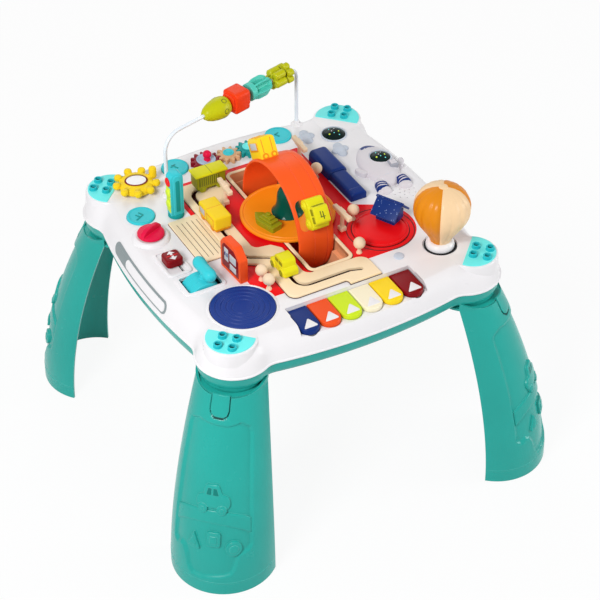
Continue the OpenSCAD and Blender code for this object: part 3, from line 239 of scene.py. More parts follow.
def lathe(bm, profile, matrix=Matrix(), steps=72, index=0):
    old = set(bm.verts)
    oldFaces = set(bm.faces)
    verts = [bm.verts.new((r, 0, z)) for r, z in profile]
    edges = [bm.edges.new(pair) for pair in zip(verts, verts[1:])]
    bmesh.ops.spin(bm, geom=verts + edges, cent=(0, 0, 0), axis=(0, 0, 1), dvec=(0, 0, 0),
                   angle=2 * math.pi, steps=steps, use_merge=True, use_normal_flip=False,
                   use_duplicate=False)
    bmesh.ops.remove_doubles(bm, verts=newVerts(bm, old), dist=0.0005)
    bmesh.ops.recalc_face_normals(bm, faces=[f for f in bm.faces if f not in oldFaces])
    paint(bm, oldFaces, index)
    place(bm, old, matrix)


def pin(bm, r, low, high, matrix, steps=72, index=0):
    # plain round bar along z
    lathe(bm, [(0, low), (r, low), (r, high), (0, high)], matrix, steps, index)


def prism(bm, points, low, high, matrix=Matrix(), rim=0.0, steps=3, index=0, foot=False):
    # flat outline pulled up, with its upper edge rounded, and its lower one if it has a foot
    old = set(bm.verts)
    oldFaces = set(bm.faces)
    verts = [bm.verts.new((p[0], p[1], low)) for p in points]
    base = bm.faces.new(verts)
    base.normal_update()
    if base.normal.z > 0:
        base.normal_flip()
    out = bmesh.ops.extrude_face_region(bm, geom=[base], use_keep_orig=True)
    top = [g for g in out["geom"] if isinstance(g, bmesh.types.BMFace)][0]
    bmesh.ops.translate(bm, vec=(0, 0, high - low), verts=list(top.verts))
    bmesh.ops.recalc_face_normals(bm, faces=[f for f in bm.faces if f not in oldFaces])
    if rim:
        soften(bm, list(top.edges) + (list(base.edges) if foot else []), rim, steps)
    paint(bm, oldFaces, index)
    place(bm, old, matrix)


def block(bm, size, centre, matrix=Matrix(), rim=0.6, steps=3, index=0):
    # box with every edge rounded
    old = set(bm.verts)
    oldFaces = set(bm.faces)
    bmesh.ops.create_cube(bm, size=1.0)
    fresh = newVerts(bm, old)
    bmesh.ops.scale(bm, vec=size, verts=fresh)
    bmesh.ops.translate(bm, vec=centre, verts=fresh)
    if rim:
        soften(bm, list({e for v in fresh for e in v.link_edges}), rim, steps)
    paint(bm, oldFaces, index)
    place(bm, old, matrix)


def ball(bm, radius, centre, matrix=Matrix(), index=0, segments=32):
    old = set(bm.verts)
    oldFaces = set(bm.faces)
    bmesh.ops.create_uvsphere(bm, u_segments=segments, v_segments=segments // 2, radius=radius)
    bmesh.ops.translate(bm, vec=centre, verts=newVerts(bm, old))
    paint(bm, oldFaces, index)
    place(bm, old, matrix)


def rod(bm, radius, start, end, index=0, segments=24, radius2=None, rim=0.0):
    old = set(bm.verts)
    oldFaces = set(bm.faces)
    a, b = Vector(start), Vector(end)
    bmesh.ops.create_cone(bm, cap_ends=True, segments=segments, radius1=radius,
                          radius2=radius if radius2 is None else radius2, depth=(b - a).length)
    if rim:
        caps = [f for f in bm.faces if f not in oldFaces and len(f.verts) > 4]
        soften(bm, [e for f in caps for e in f.edges], rim, 3)
    paint(bm, oldFaces, index)
    turn = (b - a).to_track_quat("Z", "Y").to_matrix().to_4x4()
    place(bm, old, Matrix.Translation((a + b) / 2) @ turn)


def arcOf(centre, radius, start, end, steps):
    return [(centre[0] + radius * math.cos(rad(start + (end - start) * i / steps)),
             centre[1] + radius * math.sin(rad(start + (end - start) * i / steps)))
            for i in range(steps + 1)]


def softRect(w, l, r, x=0.0, y=0.0):
    hx, hy = w / 2 - r, l / 2 - r
    return (arcOf((x + hx, y + hy), r, 0, 90, 6) + arcOf((x - hx, y + hy), r, 90, 180, 6)
            + arcOf((x - hx, y - hy), r, 180, 270, 6) + arcOf((x + hx, y - hy), r, 270, 360, 6))


def roundCorners(points, r, steps):
    # outline with every corner replaced by a small arc; r may be one radius or one per corner
    out = []
    n = len(points)
    for i, p in enumerate(points):
        p = Vector(p)
        a = Vector(points[i - 1]) - p
        b = Vector(points[(i + 1) % n]) - p
        radius = r[i] if isinstance(r, (list, tuple)) else r
        reach = min(radius, a.length * 0.48, b.length * 0.48)
        start, end = p + a.normalized() * reach, p + b.normalized() * reach
        if reach < 0.05:
            out.append(tuple(p))
            continue
        for k in range(steps + 1):
            t = k / steps
            q = start * (1 - t) ** 2 + p * 2 * t * (1 - t) + end * t ** 2
            out.append((q.x, q.y))
    return out


def grown(points, d):
    # outline moved outwards by d
    n = len(points)
    area = sum(points[i - 1][0] * points[i][1] - points[i][0] * points[i - 1][1] for i in range(n))
    sign = 1 if area > 0 else -1
    out = []
    for i in range(n):
        a, b, c = Vector(points[i - 1]), Vector(points[i]), Vector(points[(i + 1) % n])
        e, f = (b - a).normalized(), (c - b).normalized()
        m = Vector((e.y + f.y, -e.x - f.x)).normalized()
        k = max(0.5, m.dot(Vector((e.y, -e.x))))
        out.append(tuple(b + sign * d / k * m))
    return out


def makeObject(name, bm, mats, sharp=32):
    bmesh.ops.scale(bm, vec=(0.001, 0.001, 0.001), verts=bm.verts)
    mesh = bpy.data.meshes.new(name)
    bm.to_mesh(mesh)
    bm.free()
    for mat in mats:
        mesh.materials.append(finish[mat])
    obj = bpy.data.objects.new(name, mesh)
    bpy.context.scene.collection.objects.link(obj)
    mesh.polygons.foreach_set("use_smooth", [True] * len(mesh.polygons))
    mesh.set_sharp_from_angle(angle=rad(sharp))
    return obj


def combined(obj, cutter, way, crossing):
    # cutter is a bmesh; crossing is for a piece whose own parts overlap
    tool = makeObject(obj.name + "Cutter", cutter, [])
    mod = obj.modifiers.new("combined", "BOOLEAN")
    mod.operation = way
    mod.solver = "EXACT"
    mod.use_self = crossing
    mod.object = tool
    graph = bpy.context.evaluated_depsgraph_get()
    mesh = bpy.data.meshes.new_from_object(obj.evaluated_get(graph))
    obj.modifiers.clear()
    obj.data = mesh
    bpy.data.objects.remove(tool)
    return mesh


def carve(obj, cutter, sharp=32):
    # takes the cutter's shape out of the piece
    mesh = combined(obj, cutter, "DIFFERENCE", True)
    mesh.polygons.foreach_set("use_smooth", [True] * len(mesh.polygons))
    mesh.set_sharp_from_angle(angle=rad(sharp))


def bevelled(obj, width):
    mod = obj.modifiers.new("softEdges", "BEVEL")
    mod.width = width / 1000
    mod.segments = 2
    mod.limit_method = "ANGLE"
    mod.angle_limit = rad(40)
    mod.harden_normals = True


def seat(obj, body, slot, *nodes):
    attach(obj, body)
    if nodes:
        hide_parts(*nodes)


def finished(name, bm, mats, body, slot, *nodes, sharp=32):
    # for a piece that needs no carving
    seat(makeObject(name, bm, mats, sharp), body, slot, *nodes)


def camel(words):
    first, *rest = words.split("_")
    return first + "".join(word.capitalize() for word in rest)


# the casing's plan: bowed sides, round corner bulges, small blends between
plan = {"half": 192.0, "sag": 9.5, "bellyX": 112.0, "corner": 146.0, "bulge": 43.5, "blend": 22.0}
bellyR = (plan["bellyX"] ** 2 + plan["sag"] ** 2) / (2 * plan["sag"])
bellyC = Vector((0, plan["half"] - bellyR))
bulgeC = Vector((plan["corner"], plan["corner"]))
gapD = (bulgeC - bellyC).length
gapU = (bulgeC - bellyC) / gapD
reachA = bellyR + plan["blend"]
reachB = plan["bulge"] + plan["blend"]
along = (reachA ** 2 - reachB ** 2 + gapD ** 2) / (2 * gapD)
across = math.sqrt(reachA ** 2 - along ** 2)
blendC = bellyC + along * gapU + across * Vector((-gapU.y, gapU.x))
bellyA = math.degrees(math.atan2(blendC.y - bellyC.y, blendC.x))
bulgeA = math.degrees(math.atan2(blendC.y - plan["corner"], blendC.x - plan["corner"]))


def casingOutline(d):
    blend = arcOf(blendC, plan["blend"] + d, bulgeA + 180, bellyA + 180, 6)[1:-1]
    side = ([(y, x) for x, y in reversed(blend)]
            + arcOf(bulgeC, plan["bulge"] - d, 90 - bulgeA, bulgeA, 20)
            + blend + arcOf(bellyC, bellyR - d, bellyA, 180 - bellyA, 22))
    out = []
    for k in range(4):
        c, s = round(math.cos(k * math.pi / 2)), round(math.sin(k * math.pi / 2))
        out += [(x * c - y * s, x * s + y * c) for x, y in side]
    return out


def ringStack(bm, curve, closeLow=True, closeHigh=True):
    # casing outlines at (inset, height) pairs, pulled from one to the next
    oldFaces = set(bm.faces)
    verts = [bm.verts.new((x, y, curve[0][1])) for x, y in casingOutline(curve[0][0])]
    base = bm.faces.new(verts)
    loop = list(verts)
    n = len(loop)
    edges = [bm.edges.get((loop[i], loop[(i + 1) % n])) for i in range(n)]
    for d, z in curve[1:]:
        out = bmesh.ops.extrude_edge_only(bm, edges=edges)
        fresh = [g for g in out["geom"] if isinstance(g, bmesh.types.BMVert)]
        near = {}
        for v in fresh:
            for e in v.link_edges:
                other = e.other_vert(v)
                if other not in fresh:
                    near[other] = v
        loop = [near[v] for v in loop]
        for v, (x, y) in zip(loop, casingOutline(d)):
            v.co = (x, y, z)
        edges = [bm.edges.get((loop[i], loop[(i + 1) % n])) for i in range(n)]
    if closeHigh:
        bm.faces.new(loop)
    if not closeLow:
        bmesh.ops.delete(bm, geom=[base], context="FACES_ONLY")
    bmesh.ops.recalc_face_normals(bm, faces=[f for f in bm.faces if f not in oldFaces])


def bridgeAt(bm, z):
    # joins the two outlines that lie at one height
    level = [v for v in bm.verts if abs(v.co.z - z) < 0.001]
    bmesh.ops.bridge_loops(bm, edges=[e for e in bm.edges if e.verts[0] in level and e.verts[1] in level])
    bmesh.ops.recalc_face_normals(bm, faces=bm.faces)


# camera, lights and floor
view = {"place": (-816.72, -1506.85, 1587.61), "yaw": 28.93, "pitch": 39.59, "lens": 112.47}
cameraData = bpy.data.cameras.new("camera")
camera = bpy.data.objects.new("camera", cameraData)
bpy.context.scene.collection.objects.link(camera)
bpy.context.scene.camera = camera
cameraData.lens = view["lens"]
cameraData.sensor_width = 36
cameraData.clip_end = 50
ahead = Vector((math.sin(rad(view["yaw"])) * math.cos(rad(view["pitch"])),
                math.cos(rad(view["yaw"])) * math.cos(rad(view["pitch"])), -math.sin(rad(view["pitch"]))))
camera.location = Vector(view["place"]) * 0.001
camera.rotation_euler = ahead.to_track_quat("-Z", "Y").to_euler()

studio = {
    "lamps": {
        "key": {"place": (-1.3, -0.8, 1.6), "aim": (0, 0, 0.2), "size": 0.6, "power": 29},
        "fill": {"place": (1.7, -0.9, 0.7), "aim": (0, 0, 0.15), "size": 0.8, "power": 15},
        "back": {"place": (0.4, 1.7, 1.4), "aim": (0, 0, 0.3), "size": 1.2, "power": 7},
    },
    "ambient": 0.37,
    "floor": {"colour": (0.86, 0.86, 0.87, 1), "rough": 0.8, "glow": 0.92, "half": 6000, "drop": 0.2},
}
for name, lamp in studio["lamps"].items():
    data = bpy.data.lights.new(name, "AREA")
    data.energy = lamp["power"]
    data.size = lamp["size"]
    obj = bpy.data.objects.new(name, data)
    bpy.context.scene.collection.objects.link(obj)
    obj.location = lamp["place"]
    obj.rotation_euler = (Vector(lamp["aim"]) - Vector(lamp["place"])).to_track_quat("-Z", "Y").to_euler()


def seenRays(tree, x, y):
    # 1 for what the camera sees, straight or by gloss or through clear plastic
    rays = nodeOf(tree, "ShaderNodeLightPath", x, y)
    found = rays.outputs["Is Camera Ray"]
    for kind in ("Is Glossy Ray", "Is Transmission Ray"):
        either = tree.nodes.new("ShaderNodeMath")
        either.operation = "MAXIMUM"
        tree.links.new(found, either.inputs[0])
        tree.links.new(rays.outputs[kind], either.inputs[1])
        found = either.outputs["Value"]
    return found


def mixed(tree, share, plain, white):
    mix = tree.nodes.new("ShaderNodeMixShader")
    tree.links.new(share, mix.inputs["Fac"])
    tree.links.new(plain, mix.inputs[1])
    tree.links.new(white, mix.inputs[2])
    return mix.outputs["Shader"]


world = bpy.data.worlds.new("studio")
bpy.context.scene.world = world
world.use_nodes = True
tree = world.node_tree
ambient = tree.nodes["Background"]
ambient.inputs["Color"].default_value = (1, 1, 1, 1)
ambient.inputs["Strength"].default_value = studio["ambient"]
bright = nodeOf(tree, "ShaderNodeBackground", 0, -200, Color=(1, 1, 1, 1), Strength=1.0)
surface = mixed(tree, seenRays(tree, -400, 200), ambient.outputs["Background"], bright.outputs["Background"])
tree.links.new(surface, tree.nodes["World Output"].inputs["Surface"])
bpy.context.scene.view_settings.view_transform = "Standard"

floorMat = bpy.data.materials.new("paleFloor")
floorMat.use_nodes = True
tree = floorMat.node_tree
shader = tree.nodes["Principled BSDF"]
shader.inputs["Base Color"].default_value = studio["floor"]["colour"]
shader.inputs["Roughness"].default_value = studio["floor"]["rough"]
glow = nodeOf(tree, "ShaderNodeEmission", 0, -300, Color=(1, 1, 1, 1), Strength=1.0)
share = tree.nodes.new("ShaderNodeMath")
share.operation = "MULTIPLY"
share.inputs[1].default_value = studio["floor"]["glow"]
tree.links.new(seenRays(tree, -300, 300), share.inputs[0])
surface = mixed(tree, share.outputs["Value"], shader.outputs["BSDF"], glow.outputs["Emission"])
tree.links.new(surface, tree.nodes["Material Output"].inputs["Surface"])
finish["floor"] = floorMat
bm = bmesh.new()
bmesh.ops.create_grid(bm, x_segments=2, y_segments=2, size=studio["floor"]["half"])
bmesh.ops.translate(bm, vec=(0, 0, -studio["floor"]["drop"]), verts=bm.verts)
makeObject("floor", bm, ["floor"])
print("camera, lamps and floor ready")

# fixed places on the deck
spots = {
    "ring": (3.5, 6.5), "drum": (-118, -115), "disc": (83, -68), "bay": (83, -63.5), "house": (101, -58),
    "balloon": (127.7, -124), "star": (-126, 138), "light": (-108, 69.5), "knob": (-151.5, 45),
    "switch": (-151, -9), "lever": (-138.5, -54), "slider": (90.5, 42), "lens": (131, 123),
    "visor": (149, 43.5), "speaker": (146, -18), "wireLeft": (-100, 109), "wireRight": (102, 164.5),
    "pump": (-98.3, -57.5), "explorer": (143.6, 38.5), "wagon": (-53, 97), "truck": (-77, 31),
    "trackCar": (-49, -82), "dot": (76, -120),
}
panelTop = deckZ + 0.5
roadTop = panelTop + 3
wellHalf, wellReach = 24.5, 101.5
ringZ = deckZ + 4
keys = {"first": -79.5, "pitch": 26.1, "width": 24.6, "back": -139.8, "length": 41.0, "top": deckZ - 4}
drumSet = {"bay": 36.7, "grooves": (30, 24, 18, 12)}
buttonSet = {
    "bay": 16.8, "r": 16.5, "rise": 2.8,
    "at": {"button_left": (-145, 86), "button_back_left": (-69, 153), "button_back_right": (70, 153)},
}
gearSet = {"module": 2.6, "teeth": (13, 10, 10), "mid": -3, "row": 142.0, "thick": 6.0, "bore": 3.05,
           "angle": 25.0, "slack": 0.35}
gearX = [-gearSet["module"] * (gearSet["teeth"][0] + gearSet["teeth"][1]) / 2 + gearSet["mid"],
         gearSet["mid"],
         gearSet["module"] * (gearSet["teeth"][1] + gearSet["teeth"][2]) / 2 + gearSet["mid"]]


def spotOf(name, z=0.0, turn=0.0):
    x, y = spots[name]
    return spot(x, y, z, turn)


def wellOutline(grow):
    x, y = spots["ring"]
    return softRect(2 * (wellHalf + grow), 2 * (wellReach + grow), 5 + grow, x, y)


slotLine = ([(-40, 97)] + arcOf((-64, 84), 13, 90, 180, 8) + arcOf((-68, -37), 9, 180, 243, 5)
            + arcOf((-58, -63), 9, 63, 0, 5) + arcOf((-35, -104), 14, 180, 270, 8)
            + [(14, -118), (26, -122)])


def band(line, w):
    pts = [Vector(p) for p in line]
    n = len(pts) - 1
    ways = [(pts[min(n, i + 1)] - pts[max(0, i - 1)]).normalized() for i in range(n + 1)]
    left = [p + w / 2 * Vector((-t.y, t.x)) for p, t in zip(pts, ways)]
    right = [p - w / 2 * Vector((-t.y, t.x)) for p, t in zip(pts, ways)]
    a0 = math.degrees(math.atan2(ways[0].y, ways[0].x))
    a1 = math.degrees(math.atan2(ways[n].y, ways[n].x))
    return (arcOf(pts[0], w / 2, a0 + 270, a0 + 90, 8) + [tuple(p) for p in left[1:-1]]
            + arcOf(pts[n], w / 2, a1 + 90, a1 - 90, 8) + [tuple(p) for p in reversed(right[1:-1])])


# white casing
casing = {
    "side": [(1.4, 258.7), (0.5, 258.9), (0, 259.5), (0, 260.6), (0.5, 261.2), (1.3, 261.6), (2.0, 264),
             (2.9, 267.5), (4.1, 271.5), (5.6, 275.5), (7.4, 279), (9.6, 282.2), (12.0, 285),
             (14.4, 287.2), (16.8, 288.9), (18.6, 289.7), (20.4, 290)],
    "hollow": [(2.8, 258.7), (3.6, 262), (5.4, 270), (9.5, 279.5), (16, 285.6), (21, 287.4)],
    "boss": 152.5, "bossR": 29.5, "bossDrop": 17,
}
bm = bmesh.new()
ringStack(bm, casing["side"], closeLow=False)
ringStack(bm, casing["hollow"], closeLow=False)
bridgeAt(bm, casing["side"][0][1])
shell = makeObject("casing", bm, ["white"], sharp=40)

cut = bmesh.new()
prism(cut, wellOutline(2.7), deckZ - 30, deckZ + 10)
panelEdge = ([(-94, 120), (-94, 60), (-88, 58), (-88, -54), (-93, -60), (-93, -88), (-81, -103),
              (-81, -115), (20, -115), (20, -107)]
             + arcOf(spots["bay"], 43.5, -90, 60, 40) + [(84, -14), (78, -8), (78, 120)])
prism(cut, panelEdge, deckZ - 1.5, deckZ + 10)
bedX = keys["first"] + 3 * keys["pitch"]
bedW = 6 * keys["pitch"] + 2
bed = {"floor": deckZ - 13.5, "shelf": deckZ - 9.5, "inset": 8.6, "wall": 2.4}


def keySlots(bm):
    r = keys["width"] / 2 + 0.8
    back = keys["back"] + 1.2
    slot = [(r, back), (-r, back)] + arcOf((0, keys["back"] - keys["length"] + keys["width"] / 2), r, 180,
                                           360, 24)
    for i in range(6):
        prism(bm, [(bedX + (i - 2.5) * keys["pitch"] + x, y) for x, y in slot], bed["floor"], deckZ + 10)


def balloonBay(bm, steps):
    lathe(bm, [(0, deckZ - 1.4), (19.4, deckZ - 1.4), (20, deckZ - 0.8), (20, deckZ + 9), (0, deckZ + 9)],
          spotOf("balloon"), steps)


keySlots(cut)
prism(cut, [(bedX - bedW / 2, -152), (bedX - bedW / 2, -200), (bedX + bedW / 2, -200),
            (bedX + bedW / 2, -152)], bed["shelf"], deckZ + 10)  # lower shelf round the key ends
pin(cut, drumSet["bay"], deckZ - 9, deckZ + 9, spotOf("drum"))
balloonBay(cut, 72)
for x, y in buttonSet["at"].values():
    pin(cut, buttonSet["bay"], deckZ - 9, deckZ + 9, spot(x, y, 0))
leverBay = softRect(41, 29, 3, *spots["lever"])
prism(cut, leverBay, deckZ - 9, deckZ + 9)
prism(cut, band(slotLine, 9.8), deckZ - 1.5, deckZ + 9)
sx, sy = spots["switch"]
switchSlot = softRect(2.6, 34, 1.2, sx + 4.6, sy - 3)
prism(cut, switchSlot, deckZ - 9, deckZ + 9)
hx, hy = spots["speaker"]
for count, radius in ((1, 0), (6, 6.5), (10, 13)):
    for k in range(count):
        a = 2 * math.pi * k / count
        x, y = hx + radius * math.cos(a), hy + radius * math.sin(a)
        rod(cut, 1.1, (x, y, deckZ - 2.2), (x, y, deckZ + 4), segments=10)
carve(shell, cut, sharp=40)
seat(shell, "table", "white_plastic", "top_shell")
print("casing carved")

# corner bosses, frames, collars and sockets moulded with the casing
bm = bmesh.new()
bossTop, bossLow = deckZ + 0.2, deckZ - casing["bossDrop"]
for ax in (-1, 1):
    for ay in (-1, 1):
        r = casing["bossR"]
        lathe(bm, [(0, bossTop), (r - 1.8, bossTop), (r - 0.8, bossTop - 0.3), (r - 0.2, bossTop - 1),
                   (r, bossTop - 2), (r + 0.6, bossTop - 9), (r + 1.0, bossLow), (r - 3, bossLow),
                   (0, bossLow)],
              spot(ax * casing["boss"], ay * casing["boss"], 0), steps=96)
bosses = makeObject("cornerBosses", bm, ["white"])
cut = bmesh.new()
pin(cut, drumSet["bay"], deckZ - 9, deckZ + 9, spotOf("drum"), steps=96)
balloonBay(cut, 96)
carve(bosses, cut)
seat(bosses, "table", "white_plastic", "top_shell")
bm = bmesh.new()
lathe(bm, [(5.1, deckZ - 0.5), (22.4, deckZ - 0.5), (22, deckZ + 0.8), (20.6, deckZ + 3.2), (19, deckZ + 4.3),
           (17.4, deckZ + 4.5), (16.6, deckZ + 4.1), (5.1, deckZ + 4.1), (5.1, deckZ - 0.5)],
      spotOf("knob"), steps=96)
lathe(bm, [(36.6, deckZ - 2), (39.4, deckZ - 0.5), (39.1, deckZ + 0.7), (38.2, deckZ + 1.2),
           (37.2, deckZ + 1.2), (36.6, deckZ + 0.6), (36.6, deckZ - 2)], spotOf("drum"), steps=120)
for end in ("wireLeft", "wireRight"):
    lathe(bm, [(2.4, deckZ - 1), (7.2, deckZ - 0.6), (7, deckZ + 0.8), (5.6, deckZ + 1.8), (4.2, deckZ + 2.4),
               (3.8, deckZ + 5), (3.3, deckZ + 5.8), (2.4, deckZ + 6), (2.4, deckZ - 1)], spotOf(end))
lathe(bm, [(0, deckZ - 1), (6.4, deckZ - 1), (6, deckZ + 2), (3, deckZ + 2.2), (3, deckZ + 9.6),
           (2.4, deckZ + 10), (0, deckZ + 10)], spotOf("star"))
for x in gearX:
    lathe(bm, [(0, deckZ - 1), (3, deckZ - 1), (3, deckZ + 6.2), (2.4, deckZ + 6.8), (0, deckZ + 6.8)],
          spot(x, gearSet["row"], 0))
finished("deckFittings", bm, ["white"], "table", "white_plastic", "top_shell")
bm = bmesh.new()
prism(bm, softRect(30, 48, 6, sx, sy), deckZ - 0.6, deckZ + 2, rim=1.1)
prism(bm, softRect(50, 36, 6, *spots["lever"]), deckZ - 0.6, deckZ + 2, rim=1.1)
toyFrames = makeObject("toyFrames", bm, ["white"])
cut = bmesh.new()
prism(cut, softRect(23, 41, 3, sx, sy), deckZ + 0.4, deckZ + 9)
prism(cut, switchSlot, deckZ - 9, deckZ + 9)
prism(cut, leverBay, deckZ - 9, deckZ + 9)
carve(toyFrames, cut)
seat(toyFrames, "table", "white_plastic", "top_shell")

# key tray hung under the casing, open at the front
bm = bmesh.new()
reach = bedW / 2 + bed["wall"]
front = [(bedX - reach + 2 * reach * k / 24) for k in range(25)]
prism(bm, [(bedX + reach, -136), (bedX - reach, -136)]
      + [(x, -bellyC.y - math.sqrt((bellyR - bed["inset"]) ** 2 - x * x)) for x in front],
      bed["floor"] - 2.4, bed["shelf"] - 0.05)
tray = makeObject("keyTray", bm, ["white"])
cut = bmesh.new()
keySlots(cut)
carve(tray, cut)
seat(tray, "table", "white_plastic", "top_shell")
bm = bmesh.new()
for x in (bedX - reach, bedX + bedW / 2):
    prism(bm, [(-137, 279), (-137, 288), (-166, 288), (-170, 286.6), (-174, 283.9), (-177, 281.3),
               (-177.5, 279)], x, x + bed["wall"], alongX, rim=0.1, steps=1)
block(bm, (bedW, 2.4, 11.6), (bedX, -137.4, bed["floor"] + 5.2), rim=0.4)
finished("keyTrayWalls", bm, ["white"], "table", "white_plastic", "top_shell")

# red play panel, cream road, ribbed board
bm = bmesh.new()
prism(bm, panelEdge, deckZ - 1.5, panelTop, rim=0.3, steps=2)
panel = makeObject("playPanel", bm, ["red"])
cut = bmesh.new()
prism(cut, wellOutline(2.7), deckZ - 30, deckZ + 10)
prism(cut, band(slotLine, 10), deckZ - 9, deckZ + 9)
pin(cut, 5.1, deckZ - 9, deckZ + 9, spotOf("disc"))
carve(panel, cut)
seat(panel, "table", "red_plastic", "play_panel")
roadEdge = ([(-88, 112), (-88, -47), (-66, -62)] + arcOf((-56, -120), 10, 180, 270, 8)
            + arcOf((0.4, -133.8), 3.8, 90, 0, 6) + [(4.2, -137.5), (43, -137.5)]
            + arcOf((30, -114), 13, 0, 90, 8) + [(-22, -101)]
            + arcOf((-22, -91), 10, 270, 180, 6) + [(-32, -46), (-41, -35)]
            + arcOf((-53, -25), 8, 270, 180, 6) + [(-61, 40), (-41, 76), (-28, 88), (-28, 112)])
bm = bmesh.new()
prism(bm, roadEdge, panelTop, roadTop, rim=1.3, steps=4)
road = makeObject("roadTrack", bm, ["cream"])
cut = bmesh.new()
prism(cut, band(slotLine, 5.4), deckZ - 9, deckZ + 19)
carve(road, cut)
seat(road, "table", "cream_plastic", "road_track")
bm = bmesh.new()
# dark red strip at the slot's bottom is painted shade
prism(bm, band(slotLine, 9.8), deckZ - 1.62, deckZ - 1.44)
slotShadeStrip = makeObject("slotShadeStrip", bm, ["redGap"])
seat(slotShadeStrip, "table", "red_plastic", "play_panel")
bm = bmesh.new()
boardEdge = softRect(35.7, 84, 1.2, -106.15, 16)
prism(bm, boardEdge, deckZ, deckZ + 2, rim=0.5)
board = makeObject("ribbedBoard", bm, ["boardCream"])
cut = bmesh.new()
grooves = (-117.5, -111.4, -105.3, -99.2, -93.1)
for x in grooves:
    prism(cut, [(x, -20), (x + 1.0, -20), (x + 1.0, 50), (x, 50)], deckZ + 1.1, deckZ + 4)
carve(board, cut)
seat(board, "table", "cream_plastic", "ribbed_board")
# dark brown strips in the grooves and round the board are painted shade
bm = bmesh.new()
for x in grooves:
    block(bm, (1.0, 70, 0.5), (x + 0.5, 15, deckZ + 1.15), rim=0.1)
prism(bm, grown(boardEdge, 0.7), deckZ - 0.3, deckZ + 0.12)
finished("boardGrooveShade", bm, ["groove"], "table", "cream_plastic", "ribbed_board")
# thin dark red outlines round the road and the well are painted shade
bm = bmesh.new()
prism(bm, grown(roadEdge, 0.8), panelTop - 0.3, panelTop + 0.12)
prism(bm, wellOutline(5.0), panelTop - 0.3, panelTop + 0.14)
panelShadeStrips = makeObject("panelShadowLines", bm, ["redGap"])
cut = bmesh.new()
prism(cut, band(slotLine, 9.8), deckZ - 9, deckZ + 9)
prism(cut, wellOutline(2.5), deckZ - 9, deckZ + 9)
carve(panelShadeStrips, cut)
seat(panelShadeStrips, "table", "red_plastic", "play_panel")
# the two dark red rings round the house disc are painted shade
bm = bmesh.new()
low, high = panelTop - 0.3, panelTop + 0.1
for r0, r1 in ((38.4, 39.5), (32.6, 33.7)):
    lathe(bm, [(r0, low), (r1, low), (r1, high), (r0, high), (r0, low)], spotOf("disc"), steps=120)
finished("discShadowRings", bm, ["redGap"], "table", "red_plastic", "play_panel")
print("panel and road done")

# peach well with its cream rim
bm = bmesh.new()
rx, ry = spots["ring"]
trough = {"ledge": 70.4, "inner": wellReach, "outer": wellReach + 2.2}
axisX = Matrix.Translation((rx, ry, ringZ)) @ Matrix.Rotation(rad(90), 4, "Y")
w, r0, r1, r2 = wellHalf, trough["ledge"], trough["inner"], trough["outer"]
lathe(bm, [(r0, w - 5), (r1, w - 5), (r1, -w + 5), (r0, -w + 5), (r0, -w - 2.2), (r2, -w - 2.2),
           (r2, w + 2.2), (r0, w + 2.2), (r0, w - 5)], axisX, steps=120)
sliced(bm, (0, 0, ringZ - 16), (0, 0, 1))
closeHoles(bm)
well = makeObject("wellTrough", bm, ["peach"])
bevelled(well, 0.5)
seat(well, "table", "peach_plastic", "wheel_well")
bm = bmesh.new()
prism(bm, wellOutline(2.2), ringZ - 84, deckZ + 1.2)
walls = makeObject("wellWalls", bm, ["peach"])
cut = bmesh.new()
prism(cut, wellOutline(0), ringZ - 90, deckZ + 9)
carve(walls, cut)
cut = bmesh.new()
pin(cut, trough["outer"] - 0.3, 60, -60, axisX, steps=120)
combined(walls, cut, "INTERSECT", False)
seat(walls, "table", "peach_plastic", "wheel_well")
bm = bmesh.new()
for x0, x1 in ((w, w + 1.8), (-w - 1.8, -w)):
    pin(bm, trough["outer"] - 1, x0, x1, axisX, steps=96)
sliced(bm, (0, 0, deckZ - 1), (0, 0, 1))
finished("wellLiner", bm, ["peach"], "table", "peach_plastic", "wheel_well")
bm = bmesh.new()
prism(bm, wellOutline(4.2), panelTop, deckZ + 2.1, rim=0.8)
rim = makeObject("wellRim", bm, ["cream"])
cut = bmesh.new()
prism(cut, wellOutline(0), deckZ - 9, deckZ + 9)
carve(rim, cut)
bevelled(rim, 0.5)
seat(rim, "table", "cream_plastic", "wheel_well")

# teal pan with its half-round pod and corner seats
pan = {
    "side": [(17.6, 239.0), (14.4, 239.1), (10.6, 239.6), (7.4, 240.8), (5.2, 242.8), (3.8, 245.4),
             (2.8, 248.8), (2.2, 252.6), (1.8, 256.4), (1.5, 258.6)],
    "hollow": [(18, 241.8), (11, 247), (7, 253), (4.4, 258.6)],
    "podR": 107.3, "podHalf": 30.3, "podTop": 241, "mouth": (56, 200), "legSeat": 148,
}
bm = bmesh.new()
ringStack(bm, pan["side"], closeHigh=False)
ringStack(bm, pan["hollow"], closeHigh=False)
bridgeAt(bm, pan["side"][-1][1])
basePan = makeObject("basePan", bm, ["teal"], sharp=40)
cut = bmesh.new()
prism(cut, softRect(*pan["mouth"], 2, rx, ry), 230, 250)
carve(basePan, cut, sharp=40)
seat(basePan, "table", "teal_plastic", "base_pan")
bm = bmesh.new()
r, w = pan["podR"], pan["podHalf"]
lathe(bm, [(0, w), (100, w), (104.6, w - 0.8), (106.6, w - 2.6), (r, w - 5), (r, -w + 5), (106.6, -w + 2.6),
           (104.6, -w + 0.8), (100, -w), (0, -w), (0, -w + 2.4), (104.9, -w + 2.4), (104.9, w - 2.4),
           (0, w - 2.4), (0, w)], axisX, steps=144)
sliced(bm, (0, 0, pan["podTop"]), (0, 0, 1))
for ax in (-1, 1):
    for ay in (-1, 1):
        lathe(bm, [(14.3, 236), (32.4, 236), (33.8, 236.5), (34.6, 238), (34.9, 241), (34.9, 248),
                   (14.3, 248),
                   (14.3, 236)], spot(ax * pan["legSeat"], ay * pan["legSeat"], 0), steps=96)
finished("panPod", bm, ["teal"], "table", "teal_plastic", "base_pan")
print("pan done")

# splayed legs: a curved wall round the outer side of each corner
leg = {"footC": 183, "topC": 149, "footR": 61.3, "topR": 40.3, "sweep": 87.5, "wall": 3.0, "shelf": 236.0,
       "top": 245.0, "sink": 3.0, "ramp": 4.0}
